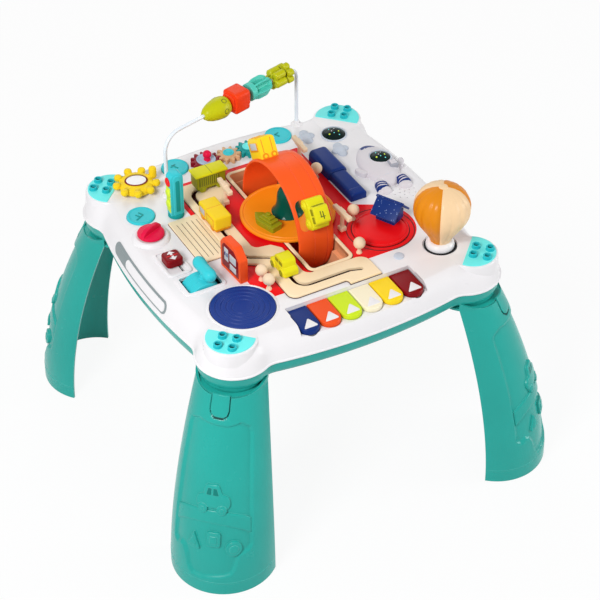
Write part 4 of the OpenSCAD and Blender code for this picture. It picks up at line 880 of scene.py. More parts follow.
# outlines in (degrees round the corner, height): the sunk panel and the well of the tab
sunk = [(-50, 55), (-50, 196), (-47, 201), (-33, 206.5), (-6, 206), (16, 205.5), (33, 208.5), (47, 202),
        (50, 196), (49, 64), (46, 59), (36, 56), (32, 51), (29, 38), (25, 30), (18, 27), (-9, 22.5),
        (-19, 23.5),
        (-24, 31), (-27, 46), (-32, 54.6), (-38, 56.5), (-44, 52)]
tabWell = [(-16.6, 240), (-16.6, 221), (-13, 215), (-7.5, 212.8), (6.5, 212.8), (12, 215), (15, 221),
           (15, 240)]


def legAt(z):
    t = max(0, min(1, z / leg["shelf"]))
    return (leg["footC"] - (leg["footC"] - leg["topC"]) * t ** 1.8,
            leg["footR"] - (leg["footR"] - leg["topR"]) * t ** 1.65)


def legTop(a):
    return leg["shelf"] - 1 + (leg["top"] - leg["shelf"] + 1) * (abs(a) / leg["sweep"]) ** 3


def smooth(t):
    t = max(0.0, min(1.0, t))
    return t * t * (3 - 2 * t)


def inwards(outline, points):
    # for each grid point, how far it lies inside the outline
    out = []
    n = len(outline)
    for a, z, w in points:
        near, inside = 1e9, False
        for i in range(n):
            (a0, z0), (a1, z1) = outline[i], outline[(i + 1) % n]
            if (z0 > z) != (z1 > z) and a < (a1 - a0) * (z - z0) / (z1 - z0) + a0:
                inside = not inside
            px, pz, qx, qz = (a0 - a) * w, z0 - z, (a1 - a0) * w, z1 - z0
            t = max(0.0, min(1.0, -(px * qx + pz * qz) / (qx * qx + qz * qz)))
            near = min(near, (px + t * qx) ** 2 + (pz + t * qz) ** 2)
        out.append(math.sqrt(near) * (1 if inside else -1))
    return out


def onLeg(a, z, lift):
    c, r = legAt(z)
    return (c + (r + lift) * math.cos(rad(45 + a)), c + (r + lift) * math.sin(rad(45 + a)), z)


def legWall(bm):
    bmesh.ops.create_grid(bm, x_segments=180, y_segments=220, size=1.0)
    for v in bm.verts:
        a = v.co.x * leg["sweep"]
        v.co = (a, legTop(a) * (v.co.y + 1) / 2, 0)
    grid = [(v.co.x, v.co.y, legAt(v.co.y)[1] * math.pi / 180) for v in bm.verts]
    panel = inwards(sunk, grid)
    tab = [d if z > 205 and abs(a) < 25 else -9 for d, (a, z, w) in zip(inwards(tabWell, grid), grid)]
    for v, d, e in zip(bm.verts, panel, tab):
        sink = leg["sink"] * smooth(d / leg["ramp"] + 0.5) + 2.0 * smooth(e / 0.9 + 0.5)
        v.co = onLeg(v.co.x, v.co.y, -sink)
    # faces in the tab's well take a dark teal, painted shade for the gap round the tab
    for f in bm.faces:
        a = sum(tab[v.index] for v in f.verts) / 4
        f.material_index = 1 if a > 0 else 0
    bmesh.ops.recalc_face_normals(bm, faces=bm.faces)
    if sum((f.normal.x + f.normal.y) for f in bm.faces) < 0:
        bmesh.ops.reverse_faces(bm, faces=bm.faces)
    bmesh.ops.solidify(bm, geom=bm.faces, thickness=leg["wall"])


def stamp(outline, low, high, chamfer, cell=2.6, index=0):
    # raised shape with a flat face, bent onto the leg; outline in (degrees, height)
    bm = bmesh.new()
    scale = legAt(sum(p[1] for p in outline) / len(outline))[1] * math.pi / 180
    prism(bm, [(a * scale, z) for a, z in outline], low, high, rim=chamfer, steps=2, index=index)
    for way in ((1, 0, 0), (0, 1, 0)):
        spread = [v.co.x * way[0] + v.co.y * way[1] for v in bm.verts]
        for k in range(1, int((max(spread) - min(spread)) / cell)):
            at = min(spread) + k * cell
            sliced(bm, (at * way[0], at * way[1], 0), way, drop=False, dist=0.0005)
    for v in bm.verts:
        v.co = onLeg(v.co.x / scale, v.co.y, v.co.z)
    mesh = bpy.data.meshes.new("stamp")
    bm.to_mesh(mesh)
    bm.free()
    return mesh


def legRelief():
    floor, flat = -leg["sink"] - 0.4, -leg["sink"] + 2.0
    tab = [(-15, 238), (-15, 222), (-12, 217), (-7, 215), (6, 215), (11, 217), (13.4, 222), (13.4, 238)]
    hill = ([(a, 98.5 + 13 * (1 - (a / 49) ** 2) ** 0.9) for a in range(-49, 50, 7)]
            + [(a, 77 + 19 * (1 - (a / 50) ** 2) ** 0.85) for a in range(49, -50, -7)])
    car = roundCorners([(-19, 115), (-20, 124), (-15, 128), (-11, 129), (-9, 141), (8, 143), (13.5, 131),
                        (22, 128), (23.5, 120), (21, 115)], [3, 4, 4, 2, 4, 4, 2, 4, 4, 3], 5)
    made = [stamp(tab, -1.9, 0.5, chamfer=0.8), stamp(hill, floor, flat, chamfer=1.3),
            stamp(car, floor, flat + 0.8, chamfer=1.3)]
    for a, z, r in ((-10, 113.6, 6.0), (13, 113.6, 6.0)):
        wide = r / (legAt(z)[1] * math.pi / 180)
        for size, low, high, cut in ((1, floor, flat + 1.6, 1.1), (0.4, -0.6, flat + 2.1, 0.4)):
            made.append(stamp([(a + size * wide * math.cos(rad(t)), z + size * r * math.sin(rad(t)))
                               for t in range(0, 360, 18)], low, high, cut))
    panes = ([(-6.6, 130.5), (-4.8, 138), (-0.4, 138.4), (-0.4, 130.5)],
             [(1.8, 130.5), (1.8, 138.4), (6, 138.2), (8.8, 130.5)])
    for outline in panes:
        made.append(stamp(outline, -1.4, flat + 1.0, 0.15, cell=1.6, index=2))
    marks = ((-19, 69, roundCorners([(-9.4, -9), (9.4, -9), (0, 11.4)], 3, 4)),
             (5, 76, roundCorners([(-8, -9), (8, -9), (8, 9.6), (-8, 9.6)], 3, 4)),
             (28, 64, [(9.6 * math.cos(rad(t)), 9.8 * math.sin(rad(t))) for t in range(0, 360, 15)]))
    for a, z, shape in marks:
        wide = 1 / (legAt(z)[1] * math.pi / 180)
        for size, high in ((1, flat + 1.1), (0.56, flat + 2.0)):
            made.append(stamp([(a + x * size * wide, z + y * size) for x, y in shape], floor, high, 1.1))
    footLine = [(a, 17.4) for a in range(-85, 86, 10)] + [(a, 15.4) for a in range(85, -86, -10)]
    made.append(stamp(footLine, -0.5, 0.25, 0.3, cell=6))
    return made


legMaster = bmesh.new()
legWall(legMaster)
for mesh in legRelief():
    legMaster.from_mesh(mesh)
    bpy.data.meshes.remove(mesh)
for quarter, node in enumerate(("leg_back_right", "leg_back_left", "leg_front_left", "leg_front_right")):
    bm = legMaster.copy()
    turn = spinZ(90 * quarter)
    bmesh.ops.transform(bm, matrix=turn, verts=bm.verts)
    lathe(bm, [(0, 233), (38.6, 233), (38.6, 235.8), (14.4, 235.8), (14, 236.2), (14, 248), (13, 249),
               (0, 249)], turn @ spot(leg["topC"], leg["topC"], 0), steps=96)
    finished("leg%d" % quarter, bm, ["teal", "tealGap", "tealShade"], "table", "teal_plastic", node, sharp=50)
print("legs done")

# half-moon stud plates
studs = {"radius": 27.0, "chord": 5.5, "mid": 160.0, "studR": 4.7, "bore": 3.1, "pitch": 16.0}
bm = bmesh.new()
start = math.degrees(math.acos(-studs["chord"] / studs["radius"]))
moon = arcOf((0, 0), studs["radius"], -start, start, 60)
for k in range(4):
    turn = spinZ(90 * k) @ spot(casing["boss"], casing["boss"], bossTop, 45)
    prism(bm, moon, 0, 1.0, turn, rim=0.35, steps=2)
    mid = (studs["mid"] - casing["boss"]) * math.sqrt(2)
    for px, py in ((1, 1), (1, -1), (-1, 1), (-1, -1)):
        at = turn @ spot(mid + px * studs["pitch"] / 2, py * studs["pitch"] / 2, 0)
        r, q = studs["studR"], studs["bore"]
        lathe(bm, [(q, 1.2), (q, 5.1), (q + 0.4, 5.5), (r - 0.5, 5.5), (r, 5), (r, 1.3), (r + 0.5, 1.0),
                   (r + 0.5, 0.8), (q, 0.8), (q, 1.2)], at, steps=32, index=1)
        # the dark plug down each stud's bore is painted shade
        lathe(bm, [(0, 1.6), (q - 0.3, 1.6), (q + 0.1, 2), (q + 0.1, 1.0), (0, 1.0)], at, steps=32, index=2)
finished("studPlates", bm, ["cyan", "studTeal", "tealGap"], "table", "cyan_plastic", "stud_plates")

# big ring wheel; its toys stand at four angles
ringSet = {"outer": 70.0, "inner": 66.8, "half": 22.5, "car": 147, "bus": 57, "van": -33, "cab": -123,
           "carShift": 1.5, "busShift": -8.2, "toyHalf": 10.6}
h, ro, ri = ringSet["half"], ringSet["outer"], ringSet["inner"]
bm = bmesh.new()
lathe(bm, [(ri, -h + 0.6), (ri + 0.5, -h), (ro - 2.2, -h), (ro - 0.9, -h + 0.5), (ro, -h + 2), (ro, -3.3),
           (ro - 0.5, -3.1), (ro - 0.5, -2.7), (ro, -2.5), (ro, 12.6), (ro - 0.9, 13.0), (ro - 0.9, 13.8),
           (ro - 0.4, 14.2), (ro - 0.6, h - 3.4), (ro - 1.4, h - 1.2), (ro - 2.4, h - 0.2), (ri + 0.5, h),
           (ri, h - 0.6), (ri, -h + 0.6)], axisX, steps=160)
ring = makeObject("ringWheel", bm, ["orange"])


def onRing(a, x):
    return (Matrix.Translation((rx + x, ry, ringZ)) @ Matrix.Rotation(rad(a), 4, "X")
            @ Matrix.Translation((0, ringSet["outer"], 0)) @ Matrix.Rotation(rad(-90), 4, "X"))


cut = bmesh.new()
for toy in ("car", "van"):
    prism(cut, softRect(15, 36, 7.4), -10, 10, onRing(ringSet[toy], -11))
carve(ring, cut)
seat(ring, "ring", "orange_plastic", "ring_wheel")
print("ring done")

# turntable, dome and boat
tableZ = deckZ + 2.4
bm = bmesh.new()
lathe(bm, [(0, tableZ), (53.6, tableZ), (55, tableZ + 1), (55, tableZ + 3), (54, tableZ + 4),
           (51.6, tableZ + 4.2), (51, tableZ + 3.4), (50.2, tableZ + 3.4), (49.6, tableZ + 4.1),
           (44, tableZ + 4.0), (0, tableZ + 4.0)], spotOf("ring"), steps=144)
pin(bm, 5, deckZ - 8, tableZ + 0.5, spotOf("ring"), steps=32)
finished("turntable", bm, ["amber"], "turntable", "amber_plastic", "turntable")
bm = bmesh.new()
lathe(bm, [(0, 0), (18.4, 0), (18.6, 1), (17.4, 2.2), (15, 6), (13.4, 11), (12.6, 16), (12.4, 21), (11.8, 26),
           (10.2, 30), (7.4, 33), (4, 34.4), (0, 34.8)], spotOf("ring", tableZ + 4.0))
finished("greenDome", bm, ["green"], "turntable", "green_lens", "turntable_dome")
bm = bmesh.new()
hull = roundCorners([(-17.6, -7.4), (9, -8.8), (19.6, 0), (9, 8.8), (-17.6, 7.4)], [2, 6, 2, 6, 2], 5)
atBoat = spot(-29, -4, tableZ + 4.0, 105)
prism(bm, hull, 0, 6, atBoat, rim=0.8)
prism(bm, [(x * 1.03, y * 1.06) for x, y in hull], 5.2, 7.4, atBoat, rim=0.8, foot=True)
block(bm, (20, 12, 4), (-3, 0, 9), atBoat, rim=0.7)
block(bm, (13, 9, 3.6), (-3, 0, 12.4), atBoat, rim=0.7)
for x in (-11, -5, 1):
    block(bm, (3, 17.4, 2.2), (x, 0, 3.8), atBoat, rim=0.5)
rod(bm, 2.6, atBoat @ Vector((-3, 0, 13)), atBoat @ Vector((-3, 0, 17.6)), rim=0.6)
finished("boat", bm, ["olive"], "turntable", "lime_plastic", "turntable_boat")

print("turntable done")


# toys on the ring: two little cars and two buses
def wheelPair(bm, x, y, z, r, w, matrix, index):
    for side in (-1, 1):
        old = set(bm.verts)
        rod(bm, r, (side * (x - w), y, z), (side * x, y, z), index=index, segments=28, rim=0.5)
        rod(bm, r * 0.42, (side * x - side * 0.2, y, z), (side * (x + 0.7), y, z), index=index,
            segments=20, rim=0.3)
        place(bm, old, matrix)


def profileBody(bm, outline, half, matrix, corner, rim, index=0):
    # side view (along y, up z) pulled across x
    prism(bm, roundCorners(outline, corner, 4), -half, half, matrix @ alongX, rim=rim, index=index, foot=True)


half = ringSet["toyHalf"]
bm = bmesh.new()
for toy in ("car", "van"):
    at = onRing(ringSet[toy], ringSet["carShift"])
    profileBody(bm, [(-17.5, -2.6), (17.5, -2.6), (18, 9), (13, 11.5), (9, 12.2), (-9, 12.6), (-15, 11),
                     (-18, 8)], half, at, corner=[1.5, 1.5, 3.5, 4, 3, 3, 4, 3.5], rim=2.0)
    profileBody(bm, [(-13.5, 9), (10, 9), (8, 20), (4, 21), (-9.5, 21), (-12, 19)], half - 1.6, at,
                corner=[1, 1, 3, 3, 4, 3], rim=2.2)
    for y in (-10.5, 10.5):
        profileBody(bm, [(y - 6.4, -2.4), (y + 6.4, -2.4), (y + 5.4, 4.4), (y + 2, 7), (y - 2, 7),
                         (y - 5.4, 4.4)], half + 0.9, at, corner=2.6, rim=0.9)
        wheelPair(bm, half + 1.6, y, 1.4, 4.4, 3, at, 0)
    for side in (-1, 1):
        for y0, y1 in ((-10.4, -2.6), (-1.2, 6.6)):
            block(bm, (0.9, y1 - y0, 5.6), (side * (half - 1.5), (y0 + y1) / 2, 15.4), at, rim=0.4, index=1)
    block(bm, (half * 1.3, 0.8, 5.2), (0, 9.2, 14.8), at, rim=0.35, index=1)
    for x, y, w, l in ((-1.6, 2.4, 1.0, 6.4), (0.4, -1.2, 6.0, 1.0), (1.4, 0.2, 1.0, 9.2)):
        block(bm, (w, l, 0.7), (x, y - 3, 21.1), at, rim=0.25, index=2)  # plain figure on the roof
finished("ringCars", bm, ["lemon", "olive", "ribShade"], "ring", "yellow_plastic", "ring_vehicles")
bm = bmesh.new()
for toy in ("bus", "cab"):
    at = onRing(ringSet[toy], ringSet["busShift"])
    profileBody(bm, [(-half, -2.4), (half, -2.4), (half, 20), (half - 2.4, 23), (-half + 3, 23.4),
                     (-half, 20.6)], 15.2, at @ spinZ(90), corner=[1.2, 1.2, 3, 3, 3, 3], rim=2.4)
    for y in (-15.0, 15.0):
        for x in (-6.2, 5.0):
            block(bm, (1.2, 1.0, 16), (x, y, 13), at, rim=0.4, index=1)
        for x in (-5.4, 5.4):
            old = set(bm.verts)
            rod(bm, 3.9, (x, y * 0.7, 0.9), (x, y * 1.07, 0.9), index=1, segments=28, rim=0.5)
            rod(bm, 1.7, (x, y * 1.06, 0.9), (x, y * 1.12, 0.9), index=0, segments=20, rim=0.3)
            place(bm, old, at)
    block(bm, (0.9, 22, 10.6), (-half, 0, 12.6), at, rim=0.4, index=1)
    block(bm, (0.9, 17, 8), (-half - 0.25, 0, 13.6), at, rim=0.4, index=2)
    for y in (-5, 5):
        block(bm, (2 * half - 4, 0.8, 0.7), (0, y, 23.2), at, rim=0.25, index=1)
finished("ringBuses", bm, ["yellow", "yellowDeep", "windowGrey"], "ring", "yellow_plastic", "ring_vehicles")
print("ring toys done")

# house and its disc
houseSet = {"turn": -62, "body": (24.6, 20.6, 13), "roofHalf": 16.4, "gableHalf": 12.1}
bm = bmesh.new()
dz = panelTop + 0.3
lathe(bm, [(0, dz), (32.2, dz), (32.5, dz + 0.4), (32.5, dz + 1.2), (31.9, dz + 1.6), (30.6, dz + 1.7),
           (29.8, dz + 1.2), (29.2, dz + 1.3), (27.5, dz + 2.2), (24, dz + 2.9), (0, dz + 3.0)],
      spotOf("disc"), steps=128)
pin(bm, 5, deckZ - 8, dz + 1, spotOf("disc"), steps=32)
houseDisc = makeObject("houseDisc", bm, ["red"])
seat(houseDisc, "house_spinner", "red_plastic", "house_disc")
bm = bmesh.new()
at = spotOf("house", dz + 3.0, houseSet["turn"])
block(bm, houseSet["body"], (0, 0, houseSet["body"][2] / 2), at, rim=0.7)
prism(bm, [(-9.6, 12.4), (9.6, 12.4), (0, 21.6)], -houseSet["gableHalf"], houseSet["gableHalf"], at @ alongX,
      rim=0.3)
roof = [(-17, 10.2), (-15.4, 8.6), (0, 21.8), (15.4, 8.6), (17, 10.2), (1.4, 25.2), (-1.4, 25.2)]
prism(bm, roundCorners(roof, [0.5, 0.5, 0.3, 0.5, 0.5, 1, 1], 3), -houseSet["roofHalf"], houseSet["roofHalf"],
      at @ alongX, rim=0.6, index=1, foot=True)
block(bm, (36, 3.0, 2.6), (0, 0, 25.4), at, rim=0.8, index=1)
for x, y in ((-6, 10.5), (6, 10.5), (0, -10.5)):
    block(bm, (6.4, 0.9, 7.4), (x, y, 6.4), at, rim=0.35)
block(bm, (0.9, 6.4, 9.4), (12.4, 0, 5.2), at, rim=0.35)
finished("house", bm, ["navy", "roof"], "house_spinner", "navy_plastic", "house")

# bead wire and its five beads
wireSet = {"r": 2.3, "foot": 278, "top": 372.0, "bendLeft": 22, "bendRight": 13}
run = Vector(spots["wireRight"]) - Vector(spots["wireLeft"])
span, yaw = run.length, math.degrees(math.atan2(run.y, run.x))
b, c, top = wireSet["bendLeft"], wireSet["bendRight"], wireSet["top"]
wireLine = ([(0, wireSet["foot"]), (0, 300), (0, top - b)]
            + [(b - b * math.cos(rad(a)), top - b * (1 - math.sin(rad(a)))) for a in range(6, 91, 6)]
            + [(span - c + c * math.sin(rad(a)), top - c * (1 - math.cos(rad(a)))) for a in range(0, 91, 6)]
            + [(span, 300), (span, wireSet["foot"])])


def tube(bm, points, radius, matrix):
    # round bar through points in the x-z plane
    segments = 20
    rings = []
    for i, p in enumerate(points):
        a, b = points[max(0, i - 1)], points[min(len(points) - 1, i + 1)]
        way = Vector((b[0] - a[0], 0, b[1] - a[1])).normalized()
        side = Vector((0, 1, 0))
        up = way.cross(side)
        mid = Vector((p[0], 0, p[1]))
        turns = [2 * math.pi * k / segments for k in range(segments)]
        verts = [bm.verts.new(mid + radius * (math.cos(t) * side + math.sin(t) * up)) for t in turns]
        rings.append([bm.edges.new((verts[k], verts[(k + 1) % segments])) for k in range(segments)])
    for low, high in zip(rings, rings[1:]):
        bmesh.ops.bridge_loops(bm, edges=low + high)
    bmesh.ops.holes_fill(bm, edges=rings[0] + rings[-1], sides=segments)
    bmesh.ops.recalc_face_normals(bm, faces=bm.faces)
    place(bm, set(), matrix)


bm = bmesh.new()
tube(bm, wireLine, wireSet["r"], spotOf("wireLeft", 0, yaw))
finished("beadWire", bm, ["wire"], "table", "white_plastic", "bead_wire")


def onWire(s):
    at = spotOf("wireLeft", wireSet["top"], yaw)
    return at @ Matrix.Translation((s, 0, 0)) @ Matrix.Rotation(rad(90), 4, "Y")


# each bead's place along the wire and its length
beadSet = {"drop": (78, 36), "block": (112, 27), "cage": (147, 34), "flower": (176, 16), "ring": (191, 9)}
bore = wireSet["r"] + 0.3
bm = bmesh.new()
s, l = beadSet["drop"]
h = l / 2
dropLine = [(3.6, -h), (5.4, -h + 0.9), (8.2, -h + 4.5), (10.6, -h + 10), (12.2, -h + 16), (12.9, -h + 21),
            (13.1, -h + 26), (12.6, -h + 30), (11.4, -h + 33.6), (10, h - 0.6), (9, h)]
lathe(bm, [(bore, -h)] + dropLine + [(bore, h), (bore, -h)], onWire(s), steps=80)


def onDrop(co, turn, along):
    # bends a small flat shape onto the drop's surface
    z = along + co.y
    for (r0, low), (r1, high) in zip(dropLine, dropLine[1:]):
        if low <= z <= high:
            r = r0 + (r1 - r0) * (z - low) / (high - low) + co.z
            a = turn + co.x / 12.8
            return Vector((r * math.cos(a), r * math.sin(a), z))
    return co


for k in range(6):
    old = set(bm.verts)
    lathe(bm, [(2.3, -0.6), (2.5, 0.25), (3.1, 0.25), (3.3, -0.6), (2.3, -0.6)], Matrix(), steps=32, index=1)
    for v in bm.verts:
        if v not in old:
            v.co = onDrop(v.co, rad(208 + 56 * k), 9.0 if k % 2 == 0 else 7.0)
    place(bm, old, onWire(s))
finished("beadDrop", bm, ["beadLime", "ribShade"], "bead_drop", "lime_plastic", "bead_drop")
bm = bmesh.new()
s, l = beadSet["block"]
prism(bm, softRect(27, 25, 5), -l / 2 + 3, l / 2 - 3, onWire(s), rim=2.0, foot=True)
prism(bm, softRect(20, 19, 4), -l / 2, l / 2, onWire(s), rim=0.8, foot=True)
for a in (0, 90, 180, 270):
    out = 13.05 if a % 180 == 0 else 12.05
    block(bm, (0.9, 12, 13), (out, 0, 0), onWire(s) @ spinZ(a), rim=0.4)
beadBlock = makeObject("beadBlock", bm, ["beadRed"])
cut = bmesh.new()
pin(cut, bore, -30, 30, onWire(s), steps=24)
carve(beadBlock, cut)
seat(beadBlock, "bead_block", "orange_plastic", "bead_block")
bm = bmesh.new()
s, l = beadSet["cage"]
h = l / 2
lathe(bm, [(bore, -h), (10.4, -h), (11, -h + 0.8), (11, -h + 6.6), (10, -h + 7.6), (5, -h + 8.2),
           (4.6, h - 6), (6.4, h - 3.6), (6.4, h - 0.6), (5.8, h), (bore, h), (bore, -h)], onWire(s),
           steps=64)
for k in range(6):
    profileBody(bm, [(4, -h + 7), (10.8, -h + 6), (13, -h + 12), (13, h - 9), (9.5, h - 2.6), (4, h - 2)],
                1.1,
                onWire(s) @ spinZ(60 * k), corner=[0, 1, 3, 3, 2, 0], rim=0.5)
finished("beadCage", bm, ["mint"], "bead_cage", "teal_plastic", "bead_cage")
for key, count, petal, r in (("flower", 5, 5, 8), ("ring", 6, 4.5, 9)):
    s, l = beadSet[key]
    h, at = l / 2, onWire(s)
    bm = bmesh.new()
    for k in range(count):
        a = 2 * math.pi * k / count
        lathe(bm, [(0, -h), (petal - 1.2, -h), (petal, -h + 1.4), (petal, h - 1.4), (petal - 1.2, h), (0, h)],
              at @ spot(r * math.cos(a), r * math.sin(a), 0), steps=28)
    lathe(bm, [(bore, -h), (r - 1, -h), (r, -h + 1), (r, h - 1), (r - 1, h), (bore, h), (bore, -h)], at,
          steps=48)
    node = "bead_" + key
    finished(camel(node), bm, ["beadLime"], node, "lime_plastic", node)
print("beads done")

# traffic light: layered slab on a round foot, three lenses on its left face
lightSet = {"top": 60.0, "lensStep": 15.5}
bm = bmesh.new()
at = spotOf("light", deckZ + 0.3)
lathe(bm, [(0, 0), (9.2, 0), (9.5, 0.5), (9.4, 3.4), (8.6, 4.6), (7.4, 5), (0, 5)], at, steps=64, index=1)
pin(bm, 5, -8, 0.5, at, steps=32, index=1)
high = lightSet["top"]


def archFace(x0, x1, low, high, bend):
    # flat below, round at both upper corners
    return ([(x0, low), (x1, low)] + arcOf((x1 - bend, high - bend), bend, 0, 90, 8)
            + arcOf((x0 + bend, high - bend), bend, 90, 180, 8))


prism(bm, archFace(-8.2, 8.2, 4, high, 6), -6.0, 6.0, at @ alongY, rim=1.0, foot=True, index=4)
prism(bm, archFace(-4.8, 5.4, 3.4, high - 1.6, 4.4), -6.9, 6.9, at @ alongY, rim=0.6, foot=True, index=4)
prism(bm, archFace(-2.4, 3.0, 9.0, high - 8, 2.2), -7.3, 7.3, at @ alongY, rim=0.4, foot=True, index=1)
block(bm, (0.9, 9.6, 34), (-8.3, 0, 25), at, rim=0.35, index=3)
for k, mat in enumerate((2, 3, 3)):
    z = high - 11 - lightSet["lensStep"] * k
    side = at @ Matrix.Translation((-8.4, 0, z)) @ Matrix.Rotation(rad(-90), 4, "Y")
    lathe(bm, [(0, 0), (5.6, 0), (5.6, 0.8), (5.1, 1.1), (4.8, 0.9), (4.4, 1.6), (2.6, 2.2), (0, 2.4)], side,
          steps=40, index=mat)
finished("trafficLight", bm, ["cyan", "tealDeep", "red", "signalLime", "aqua"], "traffic_light",
         "teal_plastic", "traffic_light")

# star wheel: domed body, rounded pegs, one tall knob
starSet = {"bore": 3.1, "pegs": 9, "pegAt": 23.5, "height": 9.0, "tallPeg": 8.0, "badge": 13.6}
bm = bmesh.new()
at = spotOf("star", deckZ + 2.3)
h = starSet["height"]
lathe(bm, [(starSet["bore"], 0), (19.2, 0), (20.2, 0.8), (20.6, h - 4), (19.8, h - 1.8), (18.0, h - 0.7),
           (14.4, h + 0.1), (0, h + 0.5)], at, steps=96)
for k in range(starSet["pegs"]):
    turn = at @ spinZ(360 / starSet["pegs"] * k + 10)
    block(bm, (10, 7.6, 5), (20.6, 0, h - 2.8), turn, rim=1.8)
    end = h + (starSet["tallPeg"] if k == 0 else 0)
    lathe(bm, [(0, h - 5.4), (3.6, h - 5.4), (4.5, h - 4.2), (4.7, h - 2.2), (4.6, end - 0.8),
               (4.0, end + 0.4),
               (2.6, end + 1.2), (0, end + 1.5)], turn @ Matrix.Translation((starSet["pegAt"], 0, 0)),
               steps=32)
oval = [(x, 0.78 * y) for x, y in arcOf((0, 0), starSet["badge"], 0, 352, 44)]
badge = at @ spinZ(-20)
prism(bm, oval, h - 0.6, h + 0.75, badge, rim=0.3, index=1)
prism(bm, [(0.86 * x, 0.86 * y) for x, y in oval], h - 0.3, h + 0.95, badge, rim=0.15, index=2)
star = makeObject("starWheel", bm, ["yellow", "darkRed", "white"])
cut = bmesh.new()
pin(cut, starSet["bore"], -1, 8, at, steps=48)
carve(star, cut)
seat(star, "star_wheel", "yellow_plastic", "star_wheel")

# three meshing gears
def gearOutline(n):
    # involute flanks between the root and the tip
    m = gearSet["module"]
    rp = m * n / 2
    rb = rp * math.cos(rad(gearSet["angle"]))
    ra = rp + 0.78 * m
    rr = rp - 1.05 * m
    half = 90 / n - math.degrees(gearSet["slack"] / (2 * rp))
    lead = math.degrees(math.tan(rad(gearSet["angle"]))) - gearSet["angle"]
    flank = []
    for i in range(5):
        r = rb + (ra - rb) * i / 4
        q = math.acos(min(1, rb / r))
        flank.append((r, half + lead - (math.degrees(math.tan(q)) - math.degrees(q))))
    points = []
    for k in range(n):
        c = 360 * k / n
        path = [(rr, flank[0][1])] + flank
        points += [(r * math.cos(rad(c - a)), r * math.sin(rad(c - a))) for r, a in path]
        points += [(r * math.cos(rad(c + a)), r * math.sin(rad(c + a))) for r, a in reversed(path)]
    return points


gearLooks = (
    ("gear_red", 0, 0, ["gearRed", "capBlue", "crimson"], "dark_red_plastic"),
    ("gear_beige", 1, 18, ["beige", "aqua", "cyan"], "beige_plastic"),
    ("gear_teal", 2, 0, ["tealDeep", "cyan", "cyan"], "teal_plastic"),
)
for node, i, turn, mats, slotName in gearLooks:
    bm = bmesh.new()
    t, n, q = gearSet["thick"], gearSet["teeth"][i], gearSet["bore"]
    at = spot(gearX[i], gearSet["row"], deckZ + 0.3, turn)
    prism(bm, gearOutline(n), 0, t, at, rim=0.45, steps=2)
    r = gearSet["module"] * n / 2
    lathe(bm, [(q, t - 1), (r - 4.6, t - 1), (r - 4.6, t + 0.7), (r - 5.2, t + 1.1), (r - 6.4, t + 0.9),
               (q, t + 0.9), (q, t - 1)], at, steps=64)
    r = 11.6 if i == 0 else 6.6  # coloured cap
    lathe(bm, [(0, t + 0.5), (r, t + 0.5), (r, t + 1.8), (r - 0.6, t + 2.3), (r - 1.8, t + 2.3),
               (r - 2.4, t + 1.7), (r * 0.5, t + 1.5), (r * 0.5, t + 2.2), (r * 0.4, t + 2.5), (0, t + 2.5)],
          at, steps=64, index=1)
    if i == 0:
        knobAt = at @ Matrix.Translation((0.5, -2, 0))
        lathe(bm, [(0, t + 1), (4.4, t + 1), (4.2, t + 3), (3.0, t + 6), (0, t + 8)], knobAt, steps=32,
              index=2)
        ball(bm, 5.2, (0, 0, t + 9.4), knobAt, index=2, segments=40)
    gear = makeObject(camel(node), bm, mats)
    cut = bmesh.new()
    pin(cut, q, -1, t + 1, spot(gearX[i], gearSet["row"], deckZ), steps=48)
    carve(gear, cut)
    seat(gear, node, slotName, node)
print("star wheel and gears done")

# push buttons with a plain motif each
motifs = {
    "button_left": [(-6, -2.4, 12, 2), (-4.6, 2.6, 2, 7), (2.8, 2.6, 2, 7)],
    "button_back_left": [(0, 0, 2, 10), (0, 4, 8, 2)],
    "button_back_right": [(-3, 0, 2, 8), (0.6, 3.4, 7, 2)],
}
for node, (x, y) in buttonSet["at"].items():
    bm = bmesh.new()
    r, z = buttonSet["r"], deckZ + buttonSet["rise"]
    lathe(bm, [(0, deckZ - 5), (r, deckZ - 5), (r, z - 1.6), (r - 0.5, z - 0.5), (r - 1.6, z),
               (r - 2.8, z - 0.1),
               (r - 3.8, z - 0.8), (r - 6, z - 0.9), (0, z - 0.7)], spot(x, y, 0), steps=80)
    for mx, my, w, l in motifs[node]:
        block(bm, (w, l, 0.9), (mx * 0.7, my * 0.7, z - 0.5), spot(x, y, 0, 28), rim=0.35, index=1)
    finished(camel(node), bm, ["aqua", "tealDeep"], node, "cyan_plastic", node)

# rotary knob, slide switch, lever and drum pad
bm = bmesh.new()
knobSet = {"finR": 15.2, "finLow": 3.4, "finRise": 8.4, "turn": 24}
at = spotOf("knob", deckZ + 4.8)
lathe(bm, [(0, 0), (15, 0), (15.5, 0.5), (15.5, 2.6), (14.9, 3.6), (13.6, 4), (0, 4.1)], at, steps=96)
pin(bm, 5, -12, 0.5, at, steps=32)
r, low = knobSet["finR"], knobSet["finLow"]
fin = [(-r, low), (r, low)] + [(r * math.cos(rad(a)), low + knobSet["finRise"] * math.sin(rad(a)) ** 0.8)
                               for a in range(8, 173, 8)]
prism(bm, fin, -2.6, 2.6, at @ spinZ(knobSet["turn"]) @ alongY, rim=0.6, foot=True)
finished("rotaryKnob", bm, ["crimson"], "rotary_knob", "magenta_plastic", "rotary_knob")

bm = bmesh.new()
at = spotOf("switch", deckZ + 2.3)
prism(bm, softRect(20, 20, 4), 0, 9, at, rim=1.8, steps=4)
arrow = [(-4.6, 3.4), (-1.3, 3.4), (-1.3, 0.9), (1.3, 0.9), (1.3, 3.4), (4.6, 3.4), (0, 8.2)]
for way in (-1, 1):
    prism(bm, [(x, way * y) for x, y in arrow][:: way], 8.4, 9.35, at, rim=0.2, index=1)
block(bm, (14, 0.9, 0.7), (0, 0, 9), at, rim=0.3, index=2)
block(bm, (2, 8, 11), (4.6, -1, -5.2), at, rim=0.3)
finished("slideSwitch", bm, ["darkRed", "white", "red"], "slide_switch", "dark_red_plastic", "slide_switch")

